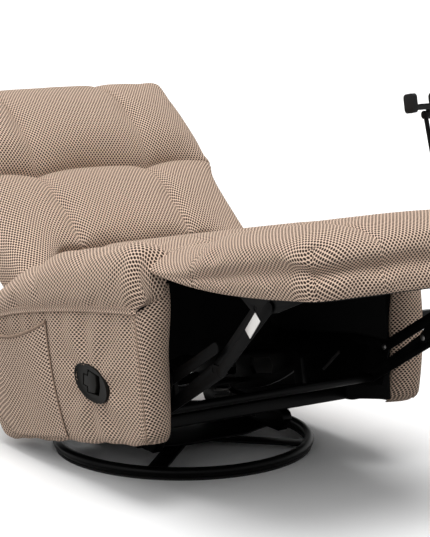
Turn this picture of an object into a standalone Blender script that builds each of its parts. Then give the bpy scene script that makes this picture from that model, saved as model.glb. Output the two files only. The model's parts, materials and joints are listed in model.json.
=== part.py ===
"""Swivel rocker recliner, shown with its footrest out, its back down and its body rocked back.

Metres, +Z up. The sitter looks along -Y, and the release handle is on the sitter's right, at -X.
Body pieces are modelled with the seat level, then the empties on the joint axes pose them.
"""
import math

import bmesh
import bpy
from mathutils import Matrix, Vector

# Gaps and small standards
GAP = 0.0003            # clearance between pieces that touch
PIN_RADIUS = 0.005      # pivot studs of the links
PIN_PLAY = 0.0003       # radial play of a stud in its hole
PIN_ROOT = 0.002        # how deep a stud is set into its own link
PIN_REACH = 0.0035      # how far a stud enters the next layer of links
OVERSHOOT = 0.010       # how far a cutter runs past the piece that it cuts
SHEET = 0.0042          # steel of the links and brackets
LAYER = SHEET + GAP     # step from one layer of links to the next

# Pose that the photograph shows
ROCK_BACK = math.radians(11.5)
RECLINE = math.radians(43.0)
FOOTREST_DROP = math.radians(6.0)
CENTRE_SHIFT_X = -0.048 # puts the middle of the whole width on the origin
CENTRE_SHIFT_Y = 0.0934  # puts the middle of the whole length on the origin

# Swivel base
RING_RADIUS = 0.3075
RING_TUBE = 0.0125
SKID_HEIGHT = 0.006
SKID_HALF = 0.007
SPOKE_WIDTH = 0.045
SPOKE_THICK = 0.006
HUB_RADIUS = 0.075
RACE_RADIUS = 0.062     # middle of the ball groove
RACE_HALF = 0.010
RACE_HEIGHT = 0.010
CAP_HEIGHT = 0.009
DECK_THICK = 0.005
DECK_SIDE = 0.10        # half length of the deck's straight sides
DECK_END = 0.135        # half length of the whole deck
TRACK_TOP = 0.100
TRACK_X = 0.178
TRACK_WIDTH = 0.026
TRACK_FRONT = -0.19
TRACK_REAR = 0.175
TRACK_ROUND = 0.022
TRACK_SLOT = 0.070      # half length of the slot in a track

# Rockers and their springs
CAM_RADIUS = 0.62
CAM_FRONT = -0.238
CAM_REAR = 0.198
CAM_THICK = 0.012
CAM_HIGH = 0.212
CAM_CHAMFER = 0.022
BAR_SIZE = 0.030
FRONT_BAR_LOW = 0.075
REAR_BAR_LOW = 0.125
SPRING_TURNS = 5
SPRING_COIL = 0.021
SPRING_WIRE = 0.0026
SPRING_HEIGHT = 0.082
SPRING_X = 0.115
SPRING_BAR_HALF = 0.030
SPRING_BAR_THICK = 0.012

# Body box, with the seat level
FRONT_LOW = -0.455      # front of the side panels at their hem
FRONT_LEAN = 0.030      # how much further forward they stand at their seam
BODY_REAR = 0.262
BODY_BOTTOM = 0.064
SEAM_HEIGHT = 0.370
BOARD_INNER = 0.300
BOARD_THICK = 0.018
BOARD_TOP = 0.4185
BOARD_INSET = 0.012     # board's rear edge in front of the panel's
BOARD_ROUND = 0.060
BOARD_DIP = 0.0505      # how far the board's top falls under the arm's rear end
PANEL_PAD = 0.056       # padding outside the board at its hem
PANEL_OUTER = BOARD_INNER + BOARD_THICK + PANEL_PAD
PANEL_WRAP = 0.0247     # padding in front of the board
PANEL_FLARE = 0.017     # how much wider the panel is at its seam than at its hem
PANEL_CORNER = 0.020
PANEL_ROUND = 0.065     # rounding of the panel's lower rear corner
REAR_PANEL_LOW = 0.165
REAR_PANEL_HIGH = 0.372
REAR_PANEL_THICK = 0.014
REAR_PANEL_INSET = 0.016
ARM_OVERHANG = 0.012    # how far the arm stands in over the seat from the board
ARM_INNER = BOARD_INNER - ARM_OVERHANG
ARM_DRAPE = 0.031       # how far it hangs out over the panel's hem line
ARM_OUTER = PANEL_OUTER + ARM_DRAPE
ARM_TOP = 0.506
ARM_DROP = 0.078        # how far the arm falls from its front to its rear end
RAIL_HEIGHT = 0.020
RAIL_WIDTH = 0.030
RAIL_FRONT = -0.430
RAIL_REAR = 0.026
STRAP_WIDTH = 0.045
STRAP_THICK = 0.003
STRAP_CLEAR = 0.040     # seat webbing inside the board
STRAP_SPAN = BOARD_INNER - STRAP_CLEAR
CURTAIN_LOW = 0.216
CURTAIN_CLEAR = 0.022   # curtain's side edge inside the board
CURTAIN_HALF = BOARD_INNER - CURTAIN_CLEAR
CURTAIN_THICK = 0.002
SEAT_FRONT = -0.5035
SEAT_REAR = 0.028
SEAT_HALF = ARM_INNER - 0.003
SEAT_EDGE = 0.034
SEAT_CROWN = 0.018
SEAT_PUFF = 0.010
CHANNEL_X = 0.168       # sewn channels of seat, back and footrest

# Recliner back, in its own frame with the recline pivot at the origin
PIVOT_Y = 0.15
PIVOT_Z = 0.38
PIVOT_ROUND = 0.016     # round end of a plate about the recline pivot
BACK_HALF = 0.378
BACK_LOW = 0.086
BACK_ROW = 0.358
BACK_TOP = 0.700
BACK_SIDE_CLEAR = 0.0071        # back frame inside the arm, with room for its bracket
BACK_FRAME_HALF = ARM_INNER - BACK_SIDE_CLEAR
BACK_FRAME_DEPTH = 0.035
BACK_FRAME_BAR = 0.030
BACK_STRAP = 0.050
BACK_EDGE = 0.070
BACK_CROWN = 0.030
BACK_PUFF = 0.028
BACK_COVER_LOW = 0.130
BACK_COVER_ROUND = 0.050
LUMBAR_INSET = 0.0049   # lumbar roll inside the back frame's width
LUMBAR_HALF = BACK_FRAME_HALF - LUMBAR_INSET
LUMBAR_LOW = -0.030
LUMBAR_CROWN = 0.014
LUMBAR_PUFF = 0.010

# Footrest linkage: pivots seen from the side, as (forward, up) with the seat level
LOWER_PIVOT = (0.392, 0.13)
LOWER_LENGTH = 0.235
LOWER_ANGLE = math.radians(22.576)
UPPER_LENGTH = 0.2215
UPPER_ANGLE = math.radians(34.288)
EAR = (0.2666, -0.0158)         # pivot on the lower link's ear, along and above the link
CROSS_LENGTH = 0.2397
CROSS_ANGLE = math.radians(32.23)
REAR_PIVOT = (0.4449, 0.2001)
REAR_LENGTH = 0.2047
REAR_ANGLE = math.radians(19.0)
LINK_HALF = 0.0125
PLATE_THICK = 0.004             # mechanism plate on the side board
DRIVE_RADIUS = 0.0105
BRACKET_DROP = 0.040            # pivot below the footrest board's underside
BRACKET_REAR = 0.075
BRACKET_FRONT = 0.170
FLANGE_WIDTH = 0.024
FOOT_REAR = 0.132               # board's rear edge behind the bracket pivot
FOOT_FRONT = 0.261              # pad's front edge ahead of the bracket pivot
FOOT_HALF_REAR = 0.340
FOOT_HALF_FRONT = 0.318
FOOT_EDGE = 0.062
FOOT_CROWN = 0.045
FOOT_PUFF = 0.012
FOOT_BOARD = 0.015
FOOT_RIM = 0.030                # rim of the pad that wraps the board
BRIDGE_END = -0.655
BRIDGE_LOW = 0.437              # underside of the bridge at the seat
BRIDGE_FALL = 0.045
BRIDGE_EDGE = 0.040
BRIDGE_CROWN = 0.036

# Release handle on the right side panel
HANDLE_Y = -0.268
HANDLE_Z = 0.205
HANDLE_LONG = 0.0725
HANDLE_HIGH = 0.043
HANDLE_TILT = math.radians(14.0)
CUP_DEPTH = 0.040
CUP_WALL = 0.005
CUP_LIP = 0.003
LEVER_BACK = 0.030              # lever's hinge behind the middle of the cup
LEVER_SINK = 0.012
LEVER_PIN = 0.0025
CABLE_RADIUS = 0.0036
CABLE_BACK = 0.020

# Cloth pocket on the right side panel
POCKET_FRONT_TOP = -0.090
POCKET_FRONT_LOW = -0.108
POCKET_REAR = 0.236
POCKET_MOUTH = 0.346
POCKET_SCOOP = 0.030
POCKET_GAPE = 0.022
POCKET_SHEET = 0.004

# Device holder on the left side
HOLDER_X = 0.465
HOLDER_Y = -0.445
HOLDER_FOOT_Y = -0.405
HOLDER_LOW = 0.230
HOLDER_PLATE = 0.007
HOLDER_PLATE_HALF = 0.024
HOLDER_COLLAR = 0.017
ELBOW = (0.495, -0.480, 0.587)
HEAD = (0.4735, -0.464, 0.731)
POST_RADIUS = 0.008
KNUCKLE_RADIUS = 0.012
KNUCKLE_WIDTH = 0.014
HEAD_RADIUS = 0.010
HEAD_WIDTH = 0.006
CRADLE_LOW = 0.0125
CRADLE_THICK = 0.010
JAW_SIZE = 0.040
JAW_THICK = 0.012

SIDES = ((-1, "right"), (1, "left"))

# Heights that follow from the sizes above
RING_MIDDLE = SKID_HEIGHT + RING_TUBE
SPOKE_LOW = RING_MIDDLE - SPOKE_THICK / 2
SPOKE_HIGH = RING_MIDDLE + SPOKE_THICK / 2
RACE_HIGH = SPOKE_HIGH + RACE_HEIGHT
DECK_LOW = RACE_HIGH + CAP_HEIGHT
DECK_HIGH = DECK_LOW + DECK_THICK
SPRING_TOP = DECK_HIGH + GAP + 2 * SPRING_WIRE + SPRING_HEIGHT
RAIL_LOW = BOARD_TOP + GAP
RAIL_HIGH = BOARD_TOP + RAIL_HEIGHT

for stale in list(bpy.data.objects):
    bpy.data.objects.remove(stale, do_unlink=True)


def material(name, colour, roughness, metallic=0.0):
    """A plain Principled material."""
    made = bpy.data.materials.new(name)
    made.use_nodes = True
    shader = made.node_tree.nodes["Principled BSDF"]
    shader.inputs["Base Color"].default_value = (*colour, 1.0)
    shader.inputs["Roughness"].default_value = roughness
    shader.inputs["Metallic"].default_value = metallic
    return made


def axis_empty(name, parent, place, turn=0.0):
    """An empty on a joint axis along X, turned about that axis."""
    empty = bpy.data.objects.new(name, None)
    bpy.context.scene.collection.objects.link(empty)
    empty.empty_display_size = 0.05
    empty.parent = parent
    empty.location = place
    empty.rotation_euler = (turn, 0.0, 0.0)
    return empty


def piece(name, mesh, finish, parent, place=(0.0, 0.0, 0.0)):
    """A named object made from a bmesh, with its faces turned outward."""
    bmesh.ops.recalc_face_normals(mesh, faces=mesh.faces)
    data = bpy.data.meshes.new(name)
    mesh.to_mesh(data)
    mesh.free()
    made = bpy.data.objects.new(name, data)
    bpy.context.scene.collection.objects.link(made)
    made.data.materials.append(finish)
    made.parent = parent
    made.location = place
    return made


def body_piece(name, mesh, finish):
    """A piece of the body, modelled with the seat level."""
    return piece(name, mesh, finish, rock_axis, (0.0, 0.0, -TRACK_TOP))


def combine(owner, mesh, operation):
    """A Boolean on a piece, with a hidden helper that is modelled in the same place."""
    finish = owner.data.materials[0]
    tool = piece(owner.name + "_" + operation.lower(), mesh, finish, owner.parent, owner.location)
    tool.hide_render = True
    tool.display_type = "WIRE"
    change = owner.modifiers.new(operation.lower(), "BOOLEAN")
    change.operation = operation
    change.solver = "EXACT"
    change.object = tool


def join(owner, *meshes):
    """Makes meshes one with a piece."""
    for mesh in meshes:
        combine(owner, mesh, "UNION")


def cut(owner, *meshes):
    """Cuts meshes out of a piece."""
    for mesh in meshes:
        combine(owner, mesh, "DIFFERENCE")


def bevel_edges(target, width, segments=2):
    """A Bevel modifier on the sharp edges."""
    rounding = target.modifiers.new("bevel", "BEVEL")
    rounding.width = width
    rounding.segments = segments
    rounding.limit_method = "ANGLE"


def skin(mesh, rings):
    """Faces between closed rings of vertices, each with the same count."""
    for first, second in zip(rings, rings[1:]):
        for i in range(len(first)):
            j = (i + 1) % len(first)
            mesh.faces.new((first[i], first[j], second[j], second[i]))


def sheet(mesh, lines):
    """Faces between open lines of vertices, each with the same count."""
    for first, second in zip(lines, lines[1:]):
        for i in range(len(first) - 1):
            mesh.faces.new((first[i], first[i + 1], second[i + 1], second[i]))


def rim_of(columns, rows):
    """Places round the rim of a grid, as (column, row)."""
    places = [(i, 0) for i in range(columns - 1)]
    places += [(columns - 1, j) for j in range(rows - 1)]
    places += [(i, rows - 1) for i in range(columns - 1, 0, -1)]
    return places + [(0, j) for j in range(rows - 1, 0, -1)]


def box(low, high):
    """A box between two corners."""
    mesh = bmesh.new()
    bmesh.ops.create_cube(mesh, size=1.0)
    middle = (Vector(low) + Vector(high)) / 2
    size = Vector(high) - Vector(low)
    for vert in mesh.verts:
        vert.co = middle + Vector((vert.co[i] * size[i] for i in range(3)))
    return mesh


def loft(sections):
    """A closed solid through rings of points, each with the same count."""
    mesh = bmesh.new()
    rings = [[mesh.verts.new(point) for point in section] for section in sections]
    skin(mesh, rings)
    mesh.faces.new(rings[0])
    mesh.faces.new(rings[-1])
    return mesh


def revolve(profile, steps=32):
    """A closed profile of (radius, height) points turned about Z."""
    mesh = bmesh.new()
    rings = []
    for step in range(steps):
        angle = 2 * math.pi * step / steps
        ring = [mesh.verts.new((r * math.cos(angle), r * math.sin(angle), z)) for r, z in profile]
        rings.append(ring)
    skin(mesh, rings + rings[:1])
    return mesh


def rod(start, end, radius, sides=16, end_radius=None):
    """A round bar between two points, which may taper."""
    start, end = Vector(start), Vector(end)
    along = end - start
    mesh = bmesh.new()
    bmesh.ops.create_cone(mesh, cap_ends=True, segments=sides, radius1=radius,
                          radius2=end_radius or radius, depth=along.length)
    turn = Vector((0, 0, 1)).rotation_difference(along).to_matrix().to_4x4()
    bmesh.ops.transform(mesh, matrix=Matrix.Translation((start + end) / 2) @ turn, verts=mesh.verts)
    return mesh


def plate(outline, low_x, high_x):
    """A sheet with an outline of (y, z) points, between two planes of constant x."""
    return loft([[(x, y, z) for y, z in outline] for x in (low_x, high_x)])


def slab(outline, low_z, high_z):
    """A sheet with an outline of (x, y) points, between two heights."""
    return loft([[(x, y, z) for x, y in outline] for z in (low_z, high_z)])


def arc(centre, radius, start, end, steps):
    """Points on a circle, with angles in degrees."""
    points = []
    for i in range(steps + 1):
        angle = math.radians(start + (end - start) * i / steps)
        points.append((centre[0] + radius * math.cos(angle), centre[1] + radius * math.sin(angle)))
    return points


def side_x(side, near, far):
    """Low and high x of a layer between two distances from the middle, on one side."""
    return sorted((side * near, side * far))


def share(value, low, high):
    """How far a value has come from low to high, kept between 0 and 1."""
    return min(max((value - low) / (high - low), 0.0), 1.0)


def soft_grid(panels, steps):
    """Positions across sewn panels: (place, how full the panel is there)."""
    found = []
    for low, high in zip(panels, panels[1:]):
        for step in range(steps):
            t = step / steps
            found.append((low + (high - low) * t, 1.0 - abs(2 * t - 1) ** 2.4))
    found.append((panels[-1], 0.0))
    return found


def three_panels(half):
    """Seams across a pad with two sewn channels, from -1 to 1."""
    seam = CHANNEL_X / half
    return (-1, -seam, seam, 1)


def cushion(seams, size, half_width, spot, steps, drawn=(1, 1), lip=(0.0, 0.0)):
    """A padded solid with a flat underside and a crowned, sewn top.

    seams are the seams across from -1 to 1 and along from 0 to 1. size is the height at the edge, the
    crown over it and the puff of each sewn cell. half_width(v) is the half width at v, and
    spot(x, v, height, inset) places a point. drawn tells which ends come down to the edge, and lip is
    the depth and the width of a rim that wraps a board underneath.
    """
    edge, crown, puff = size
    columns = soft_grid(seams[0], steps[0])
    rows = soft_grid(seams[1], steps[1])
    mesh = bmesh.new()
    top = []
    for v, fill_v in rows:
        line = []
        for u, fill_u in columns:
            fall = drawn[0] * max(0.0, 1 - 2 * v) ** 4 + drawn[1] * max(0.0, 2 * v - 1) ** 4
            arch = (1 - abs(u) ** 4) * (1 - fall)
            height = edge + crown * arch ** 0.6 + puff * fill_u * fill_v * arch ** 0.3
            line.append(mesh.verts.new(spot(u * half_width(v), v, height, 0.0)))
        top.append(line)
    sheet(mesh, top)
    rim = rim_of(len(columns), len(rows))
    rings = [[top[j][i] for i, j in rim]]
    depth, width = lip
    levels = [(0.55 * edge, 0.0), (-depth, 0.0)]
    if depth:
        levels += [(-depth, width), (0.0, width)]
    for height, inset in levels:
        ring = []
        for i, j in rim:
            u, v = columns[i][0], rows[j][0]
            x = u * half_width(v) - (inset * u if abs(u) == 1 else 0.0)
            end = 1 if v == 1 else -1 if v == 0 else 0
            ring.append(mesh.verts.new(spot(x, v, height, inset * end)))
        rings.append(ring)
    skin(mesh, rings)
    mesh.faces.new(rings[-1])
    return mesh


def net(xs, ys, low, high):
    """A flat net of straps: faces where a strap runs, holes between, then thickened."""
    mesh = bmesh.new()
    points = [[mesh.verts.new((x, y, low)) for x in xs] for y in ys]
    for j in range(len(ys) - 1):
        for i in range(len(xs) - 1):
            if i % 2 == 0 or j % 2 == 0:
                mesh.faces.new((points[j][i], points[j][i + 1], points[j + 1][i + 1], points[j + 1][i]))
    grown = bmesh.ops.extrude_face_region(mesh, geom=mesh.faces[:])
    for item in grown["geom"]:
        if isinstance(item, bmesh.types.BMVert):
            item.co.z = high
    return mesh


def upright(mesh):
    """Stands a flat net up, facing along Y."""
    for vert in mesh.verts:
        vert.co = (vert.co.x, vert.co.z, vert.co.y)
    return mesh


def straps(low, high, count, width):
    """Edges of evenly spaced straps that fill a span."""
    step = (high - low - width) / (count - 1)
    return [value for i in range(count) for value in (low + i * step, low + i * step + width)]


black_steel = material("black_steel", (0.012, 0.012, 0.013), 0.32, 0.6)
bare_steel = material("bare_steel", (0.55, 0.55, 0.56), 0.35, 1.0)
black_plastic = material("black_plastic", (0.015, 0.015, 0.016), 0.45)
lined_board = material("lined_board", (0.02, 0.02, 0.021), 0.9)
mesh_cloth = material("mesh_cloth", (0.42, 0.32, 0.25), 0.85)
webbing = material("webbing", (0.05, 0.05, 0.05), 0.9)
rubber = material("rubber", (0.02, 0.02, 0.02), 0.7)

chair = axis_empty("chair", None, (CENTRE_SHIFT_X, CENTRE_SHIFT_Y, 0.0))
swivel_axis = axis_empty("swivel_axis", chair, (0.0, 0.0, 0.0))
rock_axis = axis_empty("rock_axis", swivel_axis, (0.0, 0.0, TRACK_TOP), -ROCK_BACK)
recline_axis = axis_empty("recline_axis", rock_axis, (0.0, PIVOT_Y, PIVOT_Z - TRACK_TOP), -RECLINE)


def floor_ring():
    """The tube ring on the floor and the rubber skid under it."""
    tube = arc((RING_RADIUS, RING_MIDDLE), RING_TUBE, 0, 324, 9)
    piece("base_ring", revolve(tube, 72), black_steel, chair)
    low, high = RING_RADIUS - SKID_HALF, RING_RADIUS + SKID_HALF
    shoulder, crown = SKID_HEIGHT - 0.002, SKID_HEIGHT - GAP
    skid = [(low, 0.0), (high, 0.0), (high, shoulder),
            (RING_RADIUS + 0.002, crown), (RING_RADIUS - 0.002, crown), (low, shoulder)]
    piece("floor_skid", revolve(skid, 72), rubber, chair)


def base_spokes():
    """The flat cross that carries the swivel bearing inside the ring."""
    reach = RING_RADIUS - RING_TUBE - GAP
    half = SPOKE_WIDTH / 2
    tip = math.sqrt(reach ** 2 - half ** 2)
    root = math.sqrt(HUB_RADIUS ** 2 - half ** 2)
    outline = []
    for quarter in range(4):
        turn = Matrix.Rotation(math.pi * (quarter / 2 + 0.25), 2)
        for point in ((root, -half), (tip, -half), (reach, 0.0), (tip, half), (root, half)):
            outline.append(turn @ Vector(point))
    piece("base_spokes", slab(outline, SPOKE_LOW, SPOKE_HIGH), black_steel, chair)


def swivel_bearing():
    """The fixed race with its ball groove, and the cap that turns on it."""
    foot = SPOKE_HIGH + GAP
    inner, outer = RACE_RADIUS - RACE_HALF, RACE_RADIUS + RACE_HALF
    groove = 0.4 * RACE_HALF
    race = [(inner, foot), (outer, foot), (outer, RACE_HIGH), (RACE_RADIUS + groove, RACE_HIGH),
            (RACE_RADIUS, RACE_HIGH - 0.3 * RACE_HEIGHT), (RACE_RADIUS - groove, RACE_HIGH),
            (inner, RACE_HIGH)]
    piece("bearing_race", revolve(race, 40), bare_steel, chair)
    low, high = RACE_HIGH + GAP, DECK_LOW - GAP
    inner, outer = inner - 0.002, outer + 0.002
    cap = [(inner, low), (outer, low), (outer, high), (inner, high)]
    piece("bearing_cap", revolve(cap, 40), bare_steel, swivel_axis)


def swivel_deck():
    """The deck plate and the two slotted tracks that the rockers roll on."""
    reach = TRACK_X + TRACK_WIDTH / 2
    corner = 0.10
    outline = [(-reach, -DECK_SIDE), (-corner, -DECK_END), (corner, -DECK_END), (reach, -DECK_SIDE),
               (reach, DECK_SIDE), (corner, DECK_END), (-corner, DECK_END), (-reach, DECK_SIDE)]
    piece("swivel_plate", slab(outline, DECK_LOW, DECK_HIGH), black_steel, swivel_axis)
    foot = DECK_HIGH + GAP
    crown = TRACK_TOP - TRACK_ROUND
    outline = [(TRACK_FRONT + TRACK_ROUND, foot), (TRACK_REAR - TRACK_ROUND, foot)]
    outline += arc((TRACK_REAR - TRACK_ROUND, crown), TRACK_ROUND, 0, 90, 4)
    outline += arc((TRACK_FRONT + TRACK_ROUND, crown), TRACK_ROUND, 90, 180, 4)
    for side, word in SIDES:
        low, high = side_x(side, TRACK_X - TRACK_WIDTH / 2, TRACK_X + TRACK_WIDTH / 2)
        track = piece("rocker_track_" + word, plate(outline, low, high), black_steel, swivel_axis)
        slot_low, slot_high = foot + 0.014, TRACK_TOP - 0.016
        cut(track, box((low - OVERSHOOT, -TRACK_SLOT, slot_low), (high + OVERSHOOT, TRACK_SLOT, slot_high)))


def rocker_spring(side, word):
    """One unbroken coil spring between the swivel deck and the spring bar."""
    points = 9
    foot = DECK_HIGH + SPRING_WIRE + GAP
    path = []
    for i in range(SPRING_TURNS * points + 1):
        t = i / (SPRING_TURNS * points)
        angle = 2 * math.pi * SPRING_TURNS * t
        path.append(Vector((SPRING_COIL * math.cos(angle), SPRING_COIL * math.sin(angle),
                            foot + SPRING_HEIGHT * t)))
    gap = min((path[i] - path[i + points]).length for i in range(len(path) - points)) - 2 * SPRING_WIRE
    print("rocker_spring_" + word, "least gap between curls", round(gap * 1000, 2), "mm")
    curve = bpy.data.curves.new("rocker_spring_" + word, "CURVE")
    curve.dimensions = "3D"
    curve.bevel_depth = SPRING_WIRE
    curve.bevel_resolution = 1
    curve.use_fill_caps = True
    line = curve.splines.new("POLY")
    line.points.add(len(path) - 1)
    for point, place in zip(line.points, path):
        point.co = (place.x, place.y, place.z, 1.0)
    made = bpy.data.objects.new("rocker_spring_" + word, curve)
    bpy.context.scene.collection.objects.link(made)
    made.data.materials.append(bare_steel)
    made.parent = swivel_axis
    made.location = (side * SPRING_X, 0.0, 0.0)


def cam_outline(front_foot, rear_foot):
    """A rocker seen from the side: a round underside between two feet that stand on the bars."""
    rise = TRACK_TOP + (CAM_RADIUS + GAP) / math.cos(ROCK_BACK)
    sweep = [math.degrees(math.asin(reach / CAM_RADIUS)) for reach in (CAM_FRONT, CAM_REAR)]
    tip, tail = CAM_FRONT - 0.034, CAM_REAR + 0.032
    shoulder = CAM_HIGH - CAM_CHAMFER
    outline = [(tip, front_foot), (CAM_FRONT, front_foot)]
    outline += arc((0.0, rise), CAM_RADIUS, 270 + sweep[0], 270 + sweep[1], 16)
    outline += [(CAM_REAR, rear_foot), (tail, rear_foot), (tail, shoulder), (tail - CAM_CHAMFER, CAM_HIGH),
                (tip + CAM_CHAMFER, CAM_HIGH), (tip, shoulder)]
    return outline


def rocker_frame():
    """The rocker cams, the bars that tie them to the body and the bar that rests on the springs."""
    half = BOARD_INNER - GAP
    front_bar = ("front", CAM_FRONT - BAR_SIZE, FRONT_BAR_LOW)
    rear_bar = ("rear", CAM_REAR + 0.004, REAR_BAR_LOW)
    for word, y, z in (front_bar, rear_bar):
        bar = box((-half, y, z), (half, y + BAR_SIZE, z + BAR_SIZE))
        bevel_edges(body_piece("rocker_bar_" + word, bar, black_steel), 0.004)
    outline = cam_outline(FRONT_BAR_LOW + BAR_SIZE + GAP, REAR_BAR_LOW + BAR_SIZE + GAP)
    corners = ((-0.8, -1), (0.8, -1), (1, 0), (0.8, 1), (-0.8, 1), (-1, 0))
    for side, word in SIDES:
        low, high = side_x(side, TRACK_X - CAM_THICK / 2, TRACK_X + CAM_THICK / 2)
        cam = body_piece("rocker_cam_" + word, plate(outline, low, high), black_steel)
        for middle in (-0.10, 0.06):
            window = [(middle + 0.05 * y, CAM_HIGH - 0.04 + 0.02 * z) for y, z in corners]
            cut(cam, plate(window, low - OVERSHOOT, high + OVERSHOOT))
    reach = TRACK_X - CAM_THICK / 2 - GAP
    low = TRACK_TOP + (SPRING_TOP + GAP - TRACK_TOP) * math.cos(ROCK_BACK)
    bar = box((-reach, -SPRING_BAR_HALF, low), (reach, SPRING_BAR_HALF, low + SPRING_BAR_THICK))
    body_piece("spring_bar", bar, black_steel)


def arm_height(y):
    """Height of the arm's crown: level at the front, falling towards the rear."""
    return ARM_TOP - ARM_DROP * share(y, -0.30, 0.28) ** 1.6


def board_height(y):
    """Top of the side board, which dips under the arm's rear end."""
    return BOARD_TOP - BOARD_DIP * share(y, 0.06, BODY_REAR - BOARD_INSET)


def front_line(z):
    """Front of the side panels at a height: they lean forward."""
    return FRONT_LOW - FRONT_LEAN * (z - BODY_BOTTOM) / (SEAM_HEIGHT - BODY_BOTTOM)


def panel_face(y, z):
    """How far out the side panel stands: it flares, swells and draws in at its hem and its seam."""
    t = (z - BODY_BOTTOM) / (SEAM_HEIGHT - BODY_BOTTOM)
    swell = 0.006 * math.sin(math.pi * share(z, BODY_BOTTOM, SEAM_HEIGHT)) ** 0.8
    hem = 0.012 * max(0.0, 1 - t / 0.06) ** 2 + 0.007 * max(0.0, (t - 0.93) / 0.07) ** 2
    bow = 0.004 * math.sin(math.pi * share(y, FRONT_LOW, BODY_REAR))
    return PANEL_OUTER + PANEL_FLARE * t + swell - hem + bow


def side_board(side, word):
    """The plywood side of the body box, lined black on its inner face."""
    rear, low = BODY_REAR - BOARD_INSET, BODY_BOTTOM + 0.011
    outline = [(front_line(low) + PANEL_WRAP + GAP, low), (rear - BOARD_ROUND, low)]
    outline += arc((rear - BOARD_ROUND, low + BOARD_ROUND), BOARD_ROUND, 285, 360, 5)
    outline += [(y, board_height(y)) for y in (rear, 0.20, 0.13, 0.06)]
    outline += [(front_line(BOARD_TOP) + PANEL_WRAP + GAP, BOARD_TOP)]
    low_x, high_x = side_x(side, BOARD_INNER, BOARD_INNER + BOARD_THICK)
    return body_piece("side_board_" + word, plate(outline, low_x, high_x), lined_board)


def panel_ring(z):
    """The side panel's outline at a height, seen from above."""
    inner = BOARD_INNER + BOARD_THICK + GAP
    lift = max(0.0, 1 - (z - BODY_BOTTOM) / PANEL_ROUND)
    rear = BODY_REAR - PANEL_ROUND * (1 - math.sqrt(1 - lift ** 2))
    wrap = front_line(z) + PANEL_WRAP
    front = front_line(z) + 0.010 * max(0.0, 1 - (z - BODY_BOTTOM) / 0.020)
    ring = [(BOARD_INNER + 0.004, front + 0.004), (BOARD_INNER + 0.012, front)]
    ring += arc((panel_face(front, z) - PANEL_CORNER, front + PANEL_CORNER), PANEL_CORNER, 270, 360, 4)
    for k in range(1, 8):
        y = front + PANEL_CORNER + (rear - front - 2 * PANEL_CORNER) * k / 8
        ring.append((panel_face(y, z), y))
    ring += arc((panel_face(rear, z) - PANEL_CORNER, rear - PANEL_CORNER), PANEL_CORNER, 0, 90, 4)
    return ring + [(inner, rear), (inner, wrap), (BOARD_INNER, wrap)]


def side_panel(side, word):
    """The padded outer panel, which wraps round the board's front edge and bulges to the outside."""
    hem = BODY_BOTTOM + 0.022
    heights = [BODY_BOTTOM, BODY_BOTTOM + 0.010, hem]
    heights += [hem + 0.85 * (SEAM_HEIGHT - BODY_BOTTOM) * k / 10 for k in range(1, 11)]
    heights += [SEAM_HEIGHT - 0.012, SEAM_HEIGHT - GAP]
    sections = [[(side * x, y, z) for x, y in panel_ring(z)] for z in heights]
    return body_piece("side_panel_" + word, loft(sections), mesh_cloth)


def arm_section(y, full):
    """The arm pillow's outline across the chair at y. It is thinner where it isn't full."""
    inner = BOARD_INNER + BOARD_THICK + GAP
    foot = SEAM_HEIGHT + GAP
    step = board_height(y) + (RAIL_HEIGHT + 2 * GAP if y < RAIL_REAR + 0.024 else 0.010)
    inset = (1 - full) * 0.035
    near, far = ARM_INNER + inset, ARM_OUTER - inset
    crown = step + (arm_height(y) - step) * full
    rise = arm_height(y) - foot
    return [(near, step), (near, step + 0.45 * (crown - step)), (near + 0.014, step + 0.83 * (crown - step)),
            (ARM_INNER + 0.034, crown), (ARM_INNER + 0.064, crown - 0.003),
            (far - 0.024, foot + 0.78 * rise * full), (far - 0.004, foot + 0.5 * rise * full),
            (far - 0.002, foot + 0.25 * rise), (far - 0.020, foot), (inner, foot), (inner, step)]


def arm_pad(side, word):
    """The pillow top of the arm, which overhangs the side panel and falls towards the rear."""
    stations = ((-0.501, 0.62), (-0.494, 0.84), (-0.470, 0.96), (-0.41, 1.0), (-0.27, 1.0), (-0.14, 1.0),
                (-0.01, 1.0), (0.045, 1.0), (0.10, 1.0), (0.19, 0.98), (0.245, 0.9), (0.258, 0.72))
    sections = [[(side * x, y, z) for x, z in arm_section(y, full)] for y, full in stations]
    body_piece("arm_pad_" + word, loft(sections), mesh_cloth)


def seat_frame():
    """Two rails on the boards, the strap webbing between them and the curtain behind the footrest."""
    half = BOARD_INNER + BOARD_THICK - 0.001
    for word, y in (("front", RAIL_FRONT), ("rear", RAIL_REAR - RAIL_WIDTH)):
        bar = box((-half, y, RAIL_LOW), (half, y + RAIL_WIDTH, RAIL_HIGH))
        bevel_edges(body_piece("seat_rail_" + word, bar, black_steel), 0.003)
    xs = straps(-STRAP_SPAN, STRAP_SPAN, 6, STRAP_WIDTH)
    ys = straps(RAIL_FRONT + RAIL_WIDTH + GAP, RAIL_REAR - RAIL_WIDTH - GAP, 5, STRAP_WIDTH)
    low = RAIL_HIGH - 2 * STRAP_THICK
    body_piece("seat_webbing", net(xs, ys, low, low + STRAP_THICK), webbing)
    front = RAIL_REAR - 0.020
    curtain = box((-CURTAIN_HALF, front, CURTAIN_LOW), (CURTAIN_HALF, front + CURTAIN_THICK, RAIL_LOW - GAP))
    body_piece("dust_curtain", curtain, webbing)


def seat_cushion():
    """The seat pad on its rails, sewn in three columns."""
    def spot(x, v, height, inset):
        return x, SEAT_REAR + (SEAT_FRONT - SEAT_REAR) * v + inset, RAIL_HIGH + GAP + height

    seams = (three_panels(SEAT_HALF), (0, 1))
    pad = cushion(seams, (SEAT_EDGE, SEAT_CROWN, SEAT_PUFF), lambda v: SEAT_HALF, spot, (5, 9))
    body_piece("seat_cushion", pad, mesh_cloth)


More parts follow.
